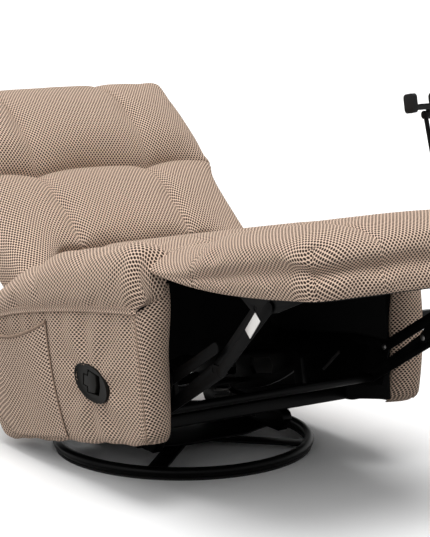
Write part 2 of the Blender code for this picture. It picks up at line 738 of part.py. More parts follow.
def mechanism_plate(side, word):
    """The steel side plate that the footrest links and the back pivot on."""
    low, high = side_x(side, BOARD_INNER - GAP - PLATE_THICK, BOARD_INNER - GAP)
    outline = [(-LOWER_PIVOT[0] - 0.018, 0.108), (0.10, 0.112), (0.19, 0.150), (0.19, 0.300)]
    outline += arc((PIVOT_Y, PIVOT_Z), PIVOT_ROUND, 0, 180, 8)
    outline += [(0.10, 0.300), (-0.05, 0.245), (-0.34, 0.232)]
    outline += arc((-REAR_PIVOT[0], REAR_PIVOT[1]), 0.014, 90, 200, 5)
    made = body_piece("mechanism_plate_" + word, plate(outline, low, high), black_steel)
    for y, z in ((PIVOT_Y, PIVOT_Z), (-LOWER_PIVOT[0], LOWER_PIVOT[1]), (-REAR_PIVOT[0], REAR_PIVOT[1])):
        cut(made, drill((y, z), low, high))


def drill(spot, low, high):
    """A cutter for a pivot hole through a sheet between two planes of constant x."""
    return rod((low - OVERSHOOT, *spot), (high + OVERSHOOT, *spot), PIN_RADIUS + PIN_PLAY)


def stud(spot, face, outward, reach=PIN_REACH):
    """A pivot stud that stands on a link's face and enters the next layer."""
    return rod((face - outward * PIN_ROOT, *spot), (face + outward * reach, *spot), PIN_RADIUS)


def layer(side, number):
    """Inner and outer x of a layer of links, counted inward from the mechanism plate."""
    outer = BOARD_INNER - 2 * GAP - PLATE_THICK - number * LAYER
    return side * (outer - SHEET), side * outer


def link_outline(length):
    """A bar with round ends, from a pivot at the origin forward along -Y."""
    return arc((-length, 0.0), LINK_HALF, 90, 270, 6) + arc((0.0, 0.0), LINK_HALF, -90, 90, 6)


def rear_links(axis):
    """The guide links, outermost, which steer the upper links."""
    for side, word in SIDES:
        inner, outer = layer(side, 0)
        link = piece("rear_link_" + word, plate(link_outline(REAR_LENGTH), inner, outer), black_steel, axis)
        join(link, stud((0.0, 0.0), outer, side, 0.003))


def cross_links(axis):
    """The links from the lower links' ears to the footrest, with studs on their inner faces."""
    for side, word in SIDES:
        inner, outer = layer(side, 1)
        link = piece("cross_link_" + word, plate(link_outline(CROSS_LENGTH), inner, outer), black_steel, axis)
        join(link, stud((0.0, 0.0), inner, -side))


def lower_links(axis):
    """The driven links with their ears, and the tube that ties the two sides."""
    y, z = -EAR[0], EAR[1]
    ear = [(y - 0.012, z + 0.004), (y - 0.009, z - 0.009), (y + 0.004, z - 0.012)]
    outline = arc((-LOWER_LENGTH, 0.0), LINK_HALF, 90, 150, 3) + ear + arc((0.0, 0.0), LINK_HALF, -90, 90, 6)
    for side, word in SIDES:
        inner, outer = layer(side, 2)
        link = piece("lower_link_" + word, plate(outline, inner, outer), black_steel, axis)
        join(link, stud((0.0, 0.0), outer, side, 2 * LAYER + 0.003))
        low, high = sorted((inner, outer))
        cut(link, drill((-LOWER_LENGTH, 0.0), low, high), drill((y, z), low, high))
    half = layer(1, 2)[0] - GAP
    piece("drive_tube", rod((-half, 0.0, 0.0), (half, 0.0, 0.0), DRIVE_RADIUS), black_steel, axis)


def upper_links(axis):
    """The links, innermost, that carry the footrest brackets."""
    for side, word in SIDES:
        inner, outer = layer(side, 3)
        link = piece("upper_link_" + word, plate(link_outline(UPPER_LENGTH), inner, outer), black_steel, axis)
        join(link, stud((0.0, 0.0), outer, side), stud((-UPPER_LENGTH, 0.0), outer, side))


def footrest_brackets(axis):
    """The angle brackets between the upper links and the footrest board."""
    rim = BRACKET_DROP - GAP
    outline = [(BRACKET_REAR, rim), (-BRACKET_FRONT, rim), (0.005 - BRACKET_FRONT, rim - 0.016)]
    outline += [(-0.075, -0.004)]
    outline += arc((0.0, 0.0), 0.0135, 230, 310, 4)
    outline += [(BRACKET_REAR - 0.015, rim - 0.016)]
    for side, word in SIDES:
        inner, outer = layer(side, 2)
        bracket = piece("footrest_bracket_" + word, plate(outline, inner, outer), black_steel, axis)
        low, high = side_x(side, abs(inner) - FLANGE_WIDTH, abs(inner) + 0.001)
        join(bracket, box((low, 0.002 - BRACKET_FRONT, rim - 0.004), (high, BRACKET_REAR - 0.002, rim)))
        cut(bracket, drill((0.0, 0.0), *sorted((inner, outer))))


def footrest_linkage():
    """Empties on the pivots of the links, then the links of both sides. Returns the footrest's empty."""
    rear_place = (0.0, -REAR_PIVOT[0], REAR_PIVOT[1] - TRACK_TOP)
    lower_place = (0.0, -LOWER_PIVOT[0], LOWER_PIVOT[1] - TRACK_TOP)
    rear_axis = axis_empty("rear_link_axis", rock_axis, rear_place, -REAR_ANGLE)
    lower_axis = axis_empty("lower_link_axis", rock_axis, lower_place, -LOWER_ANGLE)
    cross_turn, upper_turn = LOWER_ANGLE - CROSS_ANGLE, LOWER_ANGLE - UPPER_ANGLE
    cross_axis = axis_empty("cross_link_axis", lower_axis, (0.0, -EAR[0], EAR[1]), cross_turn)
    upper_axis = axis_empty("upper_link_axis", lower_axis, (0.0, -LOWER_LENGTH, 0.0), upper_turn)
    foot_turn = UPPER_ANGLE + FOOTREST_DROP
    foot_axis = axis_empty("footrest_axis", upper_axis, (0.0, -UPPER_LENGTH, 0.0), foot_turn)
    rear_links(rear_axis)
    cross_links(cross_axis)
    lower_links(lower_axis)
    upper_links(upper_axis)
    footrest_brackets(foot_axis)
    return foot_axis


def footrest(foot_axis):
    """The footrest board on its brackets, and the pad whose rim wraps the board."""
    rear, front = FOOT_REAR, -FOOT_FRONT
    corners = [(FOOT_HALF_REAR - 2 * FOOT_RIM, rear - FOOT_RIM - 0.001),
               (FOOT_HALF_FRONT - 1.4 * FOOT_RIM, front + FOOT_RIM + 0.001)]
    outline = [(-x, y) for x, y in corners] + [(x, y) for x, y in reversed(corners)]
    board_high = BRACKET_DROP + FOOT_BOARD
    piece("footrest_board", slab(outline, BRACKET_DROP, board_high), lined_board, foot_axis)

    def width(v):
        return FOOT_HALF_REAR + (FOOT_HALF_FRONT - FOOT_HALF_REAR) * v

    def spot(x, v, height, inset):
        return x, rear + (front - rear) * v + inset, board_high + GAP + height

    seams = (three_panels(FOOT_HALF_REAR), (0, 1))
    size = (FOOT_EDGE - FOOT_BOARD, FOOT_CROWN, FOOT_PUFF)
    pad = cushion(seams, size, width, spot, (6, 10), (0, 1), (FOOT_BOARD, FOOT_RIM))
    piece("footrest_pad", pad, mesh_cloth, foot_axis)


def bridge():
    """The soft bridge that fills the room between the seat and the footrest pad."""
    start = SEAT_FRONT - GAP

    def spot(x, v, height, inset):
        y = start + (BRIDGE_END - start) * v + inset
        return x, y, BRIDGE_LOW - BRIDGE_FALL * v + height * (0.74 + 0.46 * v)

    seams = (three_panels(FOOT_HALF_REAR), (0, 1))
    size = (BRIDGE_EDGE, BRIDGE_CROWN, FOOT_PUFF)
    pad = cushion(seams, size, lambda v: FOOT_HALF_REAR, spot, (6, 5), (0, 0))
    body_piece("bridge_pad", pad, mesh_cloth)


def lens(scale, wall=0.0, count=28):
    """The handle cup's outline in the side plane: a rounded lens whose front end is lower."""
    tilt = HANDLE_TILT
    points = []
    for i in range(count):
        angle = 2 * math.pi * i / count
        c, s = math.cos(angle), math.sin(angle)
        y = (HANDLE_LONG * scale - wall) * math.copysign(abs(c) ** 0.85, c)
        z = (HANDLE_HIGH * scale - wall) * math.copysign(abs(s) ** 0.85, s)
        points.append((HANDLE_Y + y * math.cos(tilt) - z * math.sin(tilt),
                       HANDLE_Z + y * math.sin(tilt) + z * math.cos(tilt)))
    return points


def handle_cup(panel):
    """The recessed cup, set into the padding. Returns the x of its face and of its floor."""
    face = -(max(panel_face(y, z) for y, z in lens(1.0)) + 3 * GAP)
    floor = face + CUP_DEPTH
    cut(panel, plate(lens(1.0, CUP_WALL), face - 2 * OVERSHOOT, floor + 0.006))
    shell = lens(1.0, CUP_WALL + 0.0005)
    rings = [[(floor, y, z) for y, z in shell], [(face + 0.001, y, z) for y, z in shell]]
    lip = face - CUP_LIP
    for x, scale in ((face, 1.0), (lip, 0.97), (lip, 0.86), (floor - 0.003, 0.80)):
        rings.append([(x, y, z) for y, z in lens(scale)])
    body_piece("handle_cup", loft(rings), black_plastic)
    return face, floor


def handle_lever(face):
    """The T-shaped pull lever on its hinge pin, inside the cup."""
    hinge_y = HANDLE_Y + LEVER_BACK * math.cos(HANDLE_TILT)
    hinge_z = HANDLE_Z + LEVER_BACK * math.sin(HANDLE_TILT)
    axis = axis_empty("lever_axis", rock_axis, (face + LEVER_SINK, hinge_y, hinge_z - TRACK_TOP), HANDLE_TILT)
    half = [(0.006, 0.012), (-0.014, 0.012), (-0.016, 0.026), (-0.046, 0.022)]
    outline = half + [(-0.050, 0.0)] + [(y, -z) for y, z in reversed(half)]
    lever = piece("handle_lever", plate(outline, -0.005, 0.003), black_plastic, axis)
    reach = HANDLE_HIGH * 0.742
    join(lever, rod((0.0, 0.0, -reach), (0.0, 0.0, reach), LEVER_PIN, 12))


def release_handle(panel, board):
    """The cup, its lever and the cable that runs through the board to the mechanism."""
    face, floor = handle_cup(panel)
    handle_lever(face)
    place = (HANDLE_Y + CABLE_BACK, HANDLE_Z)
    inner, outer = -BOARD_INNER, -BOARD_INNER - BOARD_THICK
    bore = CABLE_RADIUS + 0.0004
    cut(board, rod((inner + OVERSHOOT, *place), (outer - OVERSHOOT, *place), bore))
    cut(panel, rod((outer + 0.005, *place), (floor - OVERSHOOT, *place), bore))
    body_piece("release_cable", rod((inner, *place), (floor + GAP, *place), CABLE_RADIUS), black_plastic)


def pocket_point(u, v, lift):
    """A point of the pocket: u runs to the rear, v up to the scooped mouth, lift off the panel."""
    front = POCKET_FRONT_TOP + (POCKET_FRONT_LOW - POCKET_FRONT_TOP) * (1 - v) ** 3
    y = front + (POCKET_REAR - front) * u
    mouth = POCKET_MOUTH - POCKET_SCOOP * math.sin(math.pi * u) ** 0.8
    low = BODY_BOTTOM + 0.020 + 0.045 * max(0.0, u - 0.75) / 0.25
    z = low + (mouth - low) * v
    gape = POCKET_GAPE * math.sin(math.pi * u) ** 0.7 * v ** 1.2
    return -(panel_face(y, z) + 0.0008 + gape + lift), y, z


def side_pocket():
    """The cloth pocket on the right side panel, open at its mouth."""
    columns, rows = 11, 8
    mesh = bmesh.new()
    grids = []
    for lift in (0.0, POCKET_SHEET):
        grid = []
        for j in range(rows):
            points = [pocket_point(i / (columns - 1), j / (rows - 1), lift) for i in range(columns)]
            grid.append([mesh.verts.new(point) for point in points])
        sheet(mesh, grid)
        grids.append(grid)
    rim = rim_of(columns, rows)
    skin(mesh, [[grid[j][i] for i, j in rim] for grid in grids])
    body_piece("side_pocket", mesh, mesh_cloth)


def rear_panel():
    """The cloth-covered board that closes the body box behind."""
    half = BOARD_INNER - GAP
    rear = BODY_REAR - REAR_PANEL_INSET
    board = box((-half, rear - REAR_PANEL_THICK, REAR_PANEL_LOW), (half, rear, REAR_PANEL_HIGH))
    bevel_edges(body_piece("rear_panel", board, mesh_cloth), 0.004)


def back_frame():
    """The back's timber frame and the strap webbing in its lower window."""
    half, bar = BACK_FRAME_HALF, BACK_FRAME_BAR
    top = BACK_TOP - 0.050
    xs = (-half, -half + bar, half - bar, half)
    zs = (-0.020, 0.012, BACK_ROW - bar / 2, BACK_ROW + bar / 2, top - bar, top)
    piece("back_frame", upright(net(xs, zs, 0.0, BACK_FRAME_DEPTH)), lined_board, recline_axis)
    span = half - bar - 0.02
    web_xs = straps(-span, span, 4, BACK_STRAP)
    web_zs = straps(zs[1] + GAP, zs[2] - GAP, 4, BACK_STRAP)
    web = net(web_xs, web_zs, 0.010, 0.010 + STRAP_THICK)
    piece("back_webbing", upright(web), webbing, recline_axis)


def back_brackets():
    """The pivot brackets on the back frame, with studs in the mechanism plates."""
    rear = BACK_FRAME_DEPTH - 0.003
    outline = arc((0.0, 0.0), PIVOT_ROUND, 180, 300, 6)
    outline += [(rear, 0.0), (rear, 0.15), (0.004, 0.15), (0.004, 0.075), (-0.012, 0.03)]
    inner = BACK_FRAME_HALF + GAP
    outer = inner + SHEET
    reach = BOARD_INNER - GAP - outer - 0.0005
    for side, word in SIDES:
        sheet_x = side_x(side, inner, outer)
        bracket = piece("back_bracket_" + word, plate(outline, *sheet_x), black_steel, recline_axis)
        join(bracket, stud((0.0, 0.0), side * outer, side, reach))


def back_cushion():
    """The big pad of the back, sewn in three columns and two rows."""
    def spot(x, v, height, inset):
        return x, -GAP - height, BACK_LOW + (BACK_TOP - BACK_LOW) * v - inset

    def width(v):
        low = 0.022 * max(0.0, 1 - v / 0.45) ** 1.5
        top = 0.018 * max(0.0, (v - 0.55) / 0.45) ** 2
        return BACK_HALF - low - top

    row = (BACK_ROW - BACK_LOW) / (BACK_TOP - BACK_LOW)
    seams = (three_panels(BACK_HALF), (0, row, 1))
    pad = cushion(seams, (BACK_EDGE, BACK_CROWN, BACK_PUFF), width, spot, (5, 7))
    piece("back_cushion", pad, mesh_cloth, recline_axis)


def lumbar_cushion():
    """The lumbar roll below it, between the arms."""
    def spot(x, v, height, inset):
        return x, -GAP - height, LUMBAR_LOW + (BACK_LOW - GAP - LUMBAR_LOW) * v - inset

    seams = (three_panels(LUMBAR_HALF), (0, 1))
    pad = cushion(seams, (BACK_EDGE, LUMBAR_CROWN, LUMBAR_PUFF), lambda v: LUMBAR_HALF, spot, (4, 5))
    piece("lumbar_cushion", pad, mesh_cloth, recline_axis)


def back_cover():
    """The padded cover behind the back frame, with rounded top corners."""
    inner = BACK_FRAME_DEPTH + GAP
    corner = BACK_COVER_ROUND
    sections = []
    for y, inset in ((inner, 0.0), (inner + 0.010, 0.004), (BACK_FRAME_DEPTH + 0.022, 0.024)):
        half = BACK_HALF - 0.006 - inset
        low, high = BACK_COVER_LOW + inset, BACK_TOP - inset
        ring = [(-half, low), (half, low)] + arc((half - corner, high - corner), corner, 0, 90, 4)
        ring += arc((corner - half, high - corner), corner, 90, 180, 4)
        sections.append([(x, y, z) for x, z in ring])
    piece("back_cover", loft(sections), mesh_cloth, recline_axis)


def holder_bracket():
    """The bracket on the left side panel, with the bored collar for the holder's post."""
    foot, half, low = HOLDER_FOOT_Y, HOLDER_PLATE_HALF, HOLDER_LOW
    corners = [(foot + y, low + z) for y in (-half, half) for z in (-0.035, 0.075)]
    wall = max(panel_face(y, z) for y, z in corners) + 2 * GAP
    mount = box((wall, *corners[0]), (wall + HOLDER_PLATE, *corners[-1]))
    bracket = body_piece("holder_bracket", mount, black_plastic)
    arm = box((wall + 0.003, HOLDER_Y - 0.004, low + 0.004), (HOLDER_X + 0.004, foot + 0.010, low + 0.040))
    collar = rod((HOLDER_X, HOLDER_Y, low), (HOLDER_X, HOLDER_Y, low + 0.045), HOLDER_COLLAR, 20)
    join(bracket, collar, arm)
    bore = rod((HOLDER_X, HOLDER_Y, low + 0.006), (HOLDER_X, HOLDER_Y, low + 0.06), POST_RADIUS + GAP, 20)
    cut(bracket, bore)


def disc(middle, radius, width):
    """A round boss along X, about a middle point."""
    half = Vector((width / 2, 0.0, 0.0))
    return rod(Vector(middle) - half, Vector(middle) + half, radius)


def holder_post():
    """The bent post that turns in the collar. Returns the empty on its elbow."""
    axis = axis_empty("holder_post_axis", rock_axis, (HOLDER_X, HOLDER_Y, -TRACK_TOP))
    bend = HOLDER_LOW + 0.16
    elbow = Vector(ELBOW) - Vector((HOLDER_X, HOLDER_Y, 0.0))
    straight = rod((0, 0, HOLDER_LOW + 0.006 + GAP), (0, 0, bend), POST_RADIUS)
    post = piece("holder_post", straight, black_steel, axis)
    join(post, rod((0, 0, bend - 0.005), elbow, POST_RADIUS), disc(elbow, KNUCKLE_RADIUS, 2 * KNUCKLE_WIDTH))
    return axis_empty("holder_elbow_axis", axis, elbow)


def holder_arm(elbow_axis):
    """The arm from the elbow to the head. Returns the empty on the head."""
    rise = Vector(HEAD) - Vector(ELBOW)
    middle = Vector((-1.5 * KNUCKLE_WIDTH - 0.0005, 0.0, 0.0))
    arm = piece("holder_arm", disc(middle, KNUCKLE_RADIUS, KNUCKLE_WIDTH), black_steel, elbow_axis)
    join(arm, rod(middle, rise, 0.0065, 16, 0.0055), disc(rise, HEAD_RADIUS, 2 * HEAD_WIDTH))
    return axis_empty("holder_head_axis", elbow_axis, rise)


def jaw_block(low_x):
    """One upright jaw of the clamp."""
    return box((low_x, -0.016, CRADLE_LOW - 0.006), (low_x + JAW_THICK, 0.022, CRADLE_LOW + JAW_SIZE))


def holder_head(head_axis):
    """The cradle with its fixed jaw, and the jaw that slides along it."""
    lug = HEAD_WIDTH + GAP
    deck = CRADLE_LOW + CRADLE_THICK
    shelf = box((-0.035, -0.012, CRADLE_LOW), (0.030, 0.006, deck))
    cradle = piece("holder_cradle", shelf, black_plastic, head_axis)
    ear = rod((lug, 0, 0), (lug + HEAD_WIDTH, 0, 0), HEAD_RADIUS)
    neck = box((lug + 0.0005, -0.006, 0.0), (lug + HEAD_WIDTH - 0.0005, 0.005, CRADLE_LOW + 0.004))
    join(cradle, ear, neck, jaw_block(-0.044))
    jaw_axis = axis_empty("holder_jaw_axis", head_axis, (0.031, 0.0, 0.0))
    jaw = piece("holder_jaw", jaw_block(0.0), rubber, jaw_axis)
    join(jaw, box((-0.050, -0.010, deck + GAP), (0.004, 0.004, deck + 0.004)))


def body_box():
    """The boards, panels, arms and plates of both sides, and what the right side carries."""
    for side, word in SIDES:
        board = side_board(side, word)
        panel = side_panel(side, word)
        arm_pad(side, word)
        mechanism_plate(side, word)
        if word == "right":
            release_handle(panel, board)
            side_pocket()
    rear_panel()


floor_ring()
base_spokes()
swivel_bearing()
swivel_deck()
for side, word in SIDES:
    rocker_spring(side, word)
rocker_frame()
body_box()
seat_frame()
seat_cushion()
footrest(footrest_linkage())
bridge()
back_frame()
back_brackets()
back_cushion()
lumbar_cushion()
back_cover()
holder_bracket()
holder_head(holder_arm(holder_post()))
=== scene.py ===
# %% [markdown]
# # A swivel rocker recliner, dressed over its frame
# The frame gives every piece its place: links, rails, boards and plain solids for the padding. This
# lesson dresses it. The padding is sewn and blown up like real cushions, the cloth gets its holes, and
# the steel gets rounded edges and rivets. Everything is in metres, in the frame's own axes.

# %% Load the frame
import json
import math

import bmesh
import bpy
import numpy as np
from mathutils import Matrix, Vector

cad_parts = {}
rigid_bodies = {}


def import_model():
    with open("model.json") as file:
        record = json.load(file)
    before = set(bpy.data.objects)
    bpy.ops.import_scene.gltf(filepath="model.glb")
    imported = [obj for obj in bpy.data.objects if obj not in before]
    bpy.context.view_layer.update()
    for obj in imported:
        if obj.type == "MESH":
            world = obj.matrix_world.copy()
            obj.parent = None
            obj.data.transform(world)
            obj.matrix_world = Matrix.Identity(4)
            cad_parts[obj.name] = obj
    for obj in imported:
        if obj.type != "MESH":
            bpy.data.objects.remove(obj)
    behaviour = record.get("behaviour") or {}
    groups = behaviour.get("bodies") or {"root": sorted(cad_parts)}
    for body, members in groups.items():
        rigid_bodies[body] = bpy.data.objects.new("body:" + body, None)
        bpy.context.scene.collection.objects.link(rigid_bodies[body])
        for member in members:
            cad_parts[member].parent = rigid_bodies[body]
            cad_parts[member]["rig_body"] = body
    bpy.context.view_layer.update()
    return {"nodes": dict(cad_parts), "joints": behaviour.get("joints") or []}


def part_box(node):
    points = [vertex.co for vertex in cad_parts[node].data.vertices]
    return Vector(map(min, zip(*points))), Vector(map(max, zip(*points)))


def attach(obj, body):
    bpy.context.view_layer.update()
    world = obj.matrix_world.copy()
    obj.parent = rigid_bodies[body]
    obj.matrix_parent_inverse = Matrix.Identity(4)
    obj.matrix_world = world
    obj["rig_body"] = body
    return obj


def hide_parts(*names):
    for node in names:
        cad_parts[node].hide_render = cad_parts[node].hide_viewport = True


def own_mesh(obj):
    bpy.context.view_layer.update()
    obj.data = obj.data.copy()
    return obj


for stale in list(bpy.data.objects):
    bpy.data.objects.remove(stale, do_unlink=True)
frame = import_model()
nodes = frame["nodes"]
joints = {joint["name"]: joint for joint in frame["joints"]}
SIDES = ((-1, "right"), (1, "left"))

# %% [markdown]
# The chair stands rocked back, its back is down and its footrest is out. Padding is easier to draw with
# the seat level, so each part of the chair gets a matrix from its own level drawing to the frame. The
# lean comes from the holder's post, which is upright when the seat is level.

# %% Drawing frames
post_axis = Vector(joints["holder_swivel"]["axis"])
ROCKED = math.atan2(post_axis.y, post_axis.z)
RECLINED = math.radians(43.0)


def joint_point(name):
    return Vector(joints[name]["pos_m"])


def turned(place, angle):
    """A drawing frame that stands at a place and leans about X."""
    return Matrix.Translation(place) @ Matrix.Rotation(angle, 4, "X")


rock_point = joint_point("rock")
LEVEL = turned(rock_point, -ROCKED) @ Matrix.Translation((0, 0, -rock_point.z))
BACK = turned(joint_point("recline"), -ROCKED - RECLINED)


def box_in(node, drawing):
    """Lowest and highest corner of a frame node, measured in a drawing frame."""
    inverse = drawing.inverted()
    points = np.array([inverse @ vert.co for vert in nodes[node].data.vertices])
    return Vector(points.min(axis=0)), Vector(points.max(axis=0))


print("rocked back by", round(math.degrees(ROCKED), 2), "degrees")

# %% [markdown]
# The camera stands to the front and right of the sitter, at about the height of a person's chest, with a
# long lens. Its place was found from edges and seams whose real places are known.

# %% Camera
CAMERA_PLACE = rock_point + Vector((-2.427, -3.853, 1.186))
CAMERA_YAW = math.radians(-33.18)
CAMERA_PITCH = math.radians(10.56)
SENSOR_HEIGHT = 36.0
LENS = 128.6
camera_data = bpy.data.cameras.new("camera")
camera_data.sensor_fit = "VERTICAL"
camera_data.sensor_height = SENSOR_HEIGHT
camera_data.lens = LENS
camera = bpy.data.objects.new("camera", camera_data)
bpy.context.scene.collection.objects.link(camera)
camera.location = CAMERA_PLACE
camera.rotation_euler = (math.pi / 2 - CAMERA_PITCH, 0.0, CAMERA_YAW)
bpy.context.scene.camera = camera
bpy.context.scene.view_settings.view_transform = "Standard"
print("camera at", [round(value, 3) for value in CAMERA_PLACE])

# %% [markdown]
# Shader maths reads best as plain Python. Number wraps a socket, and each operator adds the Math node
# that does it, so a formula in the script is the same formula in the material.

# %% Numbers on sockets


class Number:
    """A number on a socket: + - * and the like add Math nodes."""

    def __init__(self, finish, socket):
        self.finish = finish
        self.socket = socket

    def maths(self, operation, *values):
        settings = {"operation": operation}
        made = self.finish.node("ShaderNodeMath", settings, dict(enumerate(values)))
        return Number(self.finish, made.outputs[0])

    def __add__(self, other):
        return self.maths("ADD", self, other)

    def __sub__(self, other):
        return self.maths("SUBTRACT", self, other)

    def __rsub__(self, other):
        return self.maths("SUBTRACT", other, self)

    def __mul__(self, other):
        return self.maths("MULTIPLY", self, other)

    def __truediv__(self, other):
        return self.maths("DIVIDE", self, other)

    def fraction(self):
        return self.maths("FRACT", self)

    def least(self, other):
        return self.maths("MINIMUM", self, other)

    def most(self, other):
        return self.maths("MAXIMUM", self, other)

    def root(self):
        return self.maths("SQRT", self)

    def wave(self):
        return self.maths("SINE", self)

    def between(self, low, high):
        """A soft step from 0 at low to 1 at high."""
        settings = {"interpolation_type": "SMOOTHSTEP"}
        sockets = {"Value": self, "From Min": low, "From Max": high}
        return Number(self.finish, self.finish.node("ShaderNodeMapRange", settings, sockets).outputs[0])

    __radd__ = __add__
    __rmul__ = __mul__


print("Math nodes come from", Number.__name__)

# %% [markdown]
# Nodes holds a node tree, and one method of it adds any node. Finish is a Principled material. It could be
# built by hand in the shader editor, but here every material shares the same few lines.

# %% Node trees and materials


class Nodes:
    """A node tree under construction, of a material or of the room."""

    def __init__(self, owner):
        owner.use_nodes = True
        self.tree = owner.node_tree

    def feed(self, socket, value):
        if isinstance(value, Number):
            self.tree.links.new(value.socket, socket)
        elif isinstance(value, bpy.types.NodeSocket):
            self.tree.links.new(value, socket)
        else:
            socket.default_value = value

    def node(self, kind, settings=(), sockets=()):
        """Adds a node: its settings first, then what its sockets hold or link to."""
        made = self.tree.nodes.new(kind)
        for name, value in dict(settings).items():
            setattr(made, name, value)
        for name, value in dict(sockets).items():
            self.feed(made.inputs[name], value)
        return made

    def looked_at(self):
        """1 where the eye, a reflection or a glass looks, and 0 for the light that surfaces scatter."""
        rays = self.node("ShaderNodeLightPath").outputs
        kinds = ("Camera", "Glossy", "Transmission")
        eye, mirror, glass = (Number(self, rays["Is %s Ray" % kind]) for kind in kinds)
        return eye.most(mirror).most(glass)


class Finish(Nodes):
    """One Principled material under construction."""

    def __init__(self, name, roughness=0.5, metallic=0.0, sheen=0.0, specular=0.5):
        self.material = bpy.data.materials.new(name)
        super().__init__(self.material)
        self.shader = self.tree.nodes["Principled BSDF"]
        self.shader.inputs["Roughness"].default_value = roughness
        self.shader.inputs["Metallic"].default_value = metallic
        self.shader.inputs["Sheen Weight"].default_value = sheen
        self.shader.inputs["Specular IOR Level"].default_value = specular

    def colour(self, value):
        self.feed(self.shader.inputs["Base Color"], value)

    def roughness(self, value):
        self.feed(self.shader.inputs["Roughness"], value)

    def place(self, source="Object"):
        """Coordinates on the piece: Object, or the UV map that cloth pieces carry."""
        return self.node("ShaderNodeTexCoord").outputs[source]

    def split(self, source="Object"):
        """The same coordinates as three numbers."""
        parts = self.node("ShaderNodeSeparateXYZ", {}, {0: self.place(source)}).outputs
        return [Number(self, part) for part in parts]

    def noise(self, scale, detail=2.0, source="Object"):
        sockets = {"Vector": self.place(source), "Scale": scale, "Detail": detail}
        return Number(self, self.node("ShaderNodeTexNoise", {}, sockets).outputs["Fac"])

    def mix(self, share, first, second):
        """A colour between two colours."""
        sockets = {0: share, 6: first, 7: second}
        return self.node("ShaderNodeMix", {"data_type": "RGBA"}, sockets).outputs[2]

    def bump(self, height, depth):
        """Relief in metres, fed to the shader's Normal."""
        sockets = {"Height": height, "Distance": depth, "Strength": 1.0}
        self.feed(self.shader.inputs["Normal"], self.node("ShaderNodeBump", {}, sockets).outputs[0])


print("materials come from", Finish.__name__)

# %% [markdown]
# The cover is a spacer mesh: a thick knit with round holes through its face, in rows set half a pitch
# apart, over a dark backing. An image could hold that pattern, but maths on the cloth's own coordinates
# stays sharp at any distance. Two lattices of points, one shifted by half a pitch, give the holes.

# %% Spacer mesh cloth
PITCH_ACROSS = 0.0088
PITCH_ALONG = 0.0112
HOLE_RADIUS = 0.0029
HOLE_RAGGED = 0.0007    # how far a hole's rim strays
MESH_DEPTH = 0.0011
KNIT_ACROSS = 37.7      # the knit's own waves, in radians for each pitch
KNIT_ALONG = 44.0


def srgb(red, green, blue):
    """A colour seen on screen, 0 to 255, as the linear colour that Blender wants."""
    linear = [((c / 255 + 0.055) / 1.055) ** 2.4 for c in (red, green, blue)]
    return (*linear, 1.0)


def shaded(colour, share, lift=0.0):
    """A darker or lighter version of a colour."""
    return tuple(value * share + lift for value in colour[:3]) + (1.0,)


def spacer_mesh(name, yarn, backing, hole_radius=HOLE_RADIUS):
    finish = Finish(name, roughness=0.9, sheen=0.6, specular=0.25)
    finish.shader.inputs["Sheen Roughness"].default_value = 0.45
    finish.shader.inputs["Sheen Tint"].default_value = yarn
    across, along, _ = finish.split("UV")
    u = across / PITCH_ACROSS
    v = along / PITCH_ALONG

    def lattice(shift):
        x = ((u + shift).fraction() - 0.5) * PITCH_ACROSS
        y = ((v + shift).fraction() - 0.5) * PITCH_ALONG
        return x * x + y * y

    distance = lattice(0.0).least(lattice(0.5)).root()
    ragged = (finish.noise(900.0, 1.0, "UV") - 0.5) * HOLE_RAGGED
    hole = 1 - (distance + ragged).between(hole_radius * 0.75, hole_radius * 1.2)
    knit = ((u * KNIT_ACROSS).wave() * (v * KNIT_ALONG).wave()) * 0.5 + 0.5
    worn = finish.noise(5.0, 3.0)
    shade = worn * 0.35 + knit * 0.3 + 0.2
    yarn_colour = finish.mix(shade, shaded(yarn, 0.76), yarn)
    finish.colour(finish.mix(hole, yarn_colour, backing))
    finish.bump((1 - hole) + knit * 0.2, MESH_DEPTH)
    return finish.material


cloth = spacer_mesh("cloth", srgb(242, 213, 191), srgb(38, 25, 19))
seam_cloth = spacer_mesh("seam_cloth", srgb(214, 184, 162), srgb(84, 64, 52), HOLE_RADIUS * 0.75)
print("cloth: holes every", PITCH_ACROSS * 1000, "by", PITCH_ALONG * 1000, "mm")

# %% [markdown]
# The hard finishes: black enamel on the steel, a darker, duller copy of it on the links as painted shade,
# zinc plate on fasteners and springs, and moulded plastic or rubber. Each has some unevenness, because a
# perfectly even surface looks like a toy.

# %% Steel, plastic and rubber


def enamel(name, colour, roughness, specular):
    """Paint over steel: faint orange peel, and dust that dulls the gloss in places."""
    finish = Finish(name, roughness, specular=specular)
    dust = finish.noise(18.0, 4.0)
    finish.roughness(dust * 0.22 + (roughness - 0.1))
    finish.colour(finish.mix(dust.between(0.45, 0.8), colour, shaded(colour, 1.7, 0.001)))
    finish.bump(finish.noise(320.0, 2.0), 0.00006)
    return finish.material


def plated(name, colour, roughness):
    """Zinc plate: bright, with cloudy patches and fine drawing lines."""
    finish = Finish(name, roughness, 1.0)
    cloud = finish.noise(45.0, 3.0)
    finish.colour(finish.mix(cloud, shaded(colour, 0.72), colour))
    finish.roughness(cloud * 0.25 + (roughness - 0.1))
    finish.bump(finish.noise(700.0, 1.0), 0.00004)
    return finish.material


def grained(name, colour, roughness, grain, depth, specular):
    """Moulded plastic or rubber: a fine spark-eroded grain."""
    finish = Finish(name, roughness, specular=specular)
    speck = finish.noise(grain, 2.0)
    finish.colour(finish.mix(speck, colour, shaded(colour, 1.5, 0.002)))
    finish.roughness(speck * 0.2 + (roughness - 0.1))
    finish.bump(speck, depth)
    return finish.material


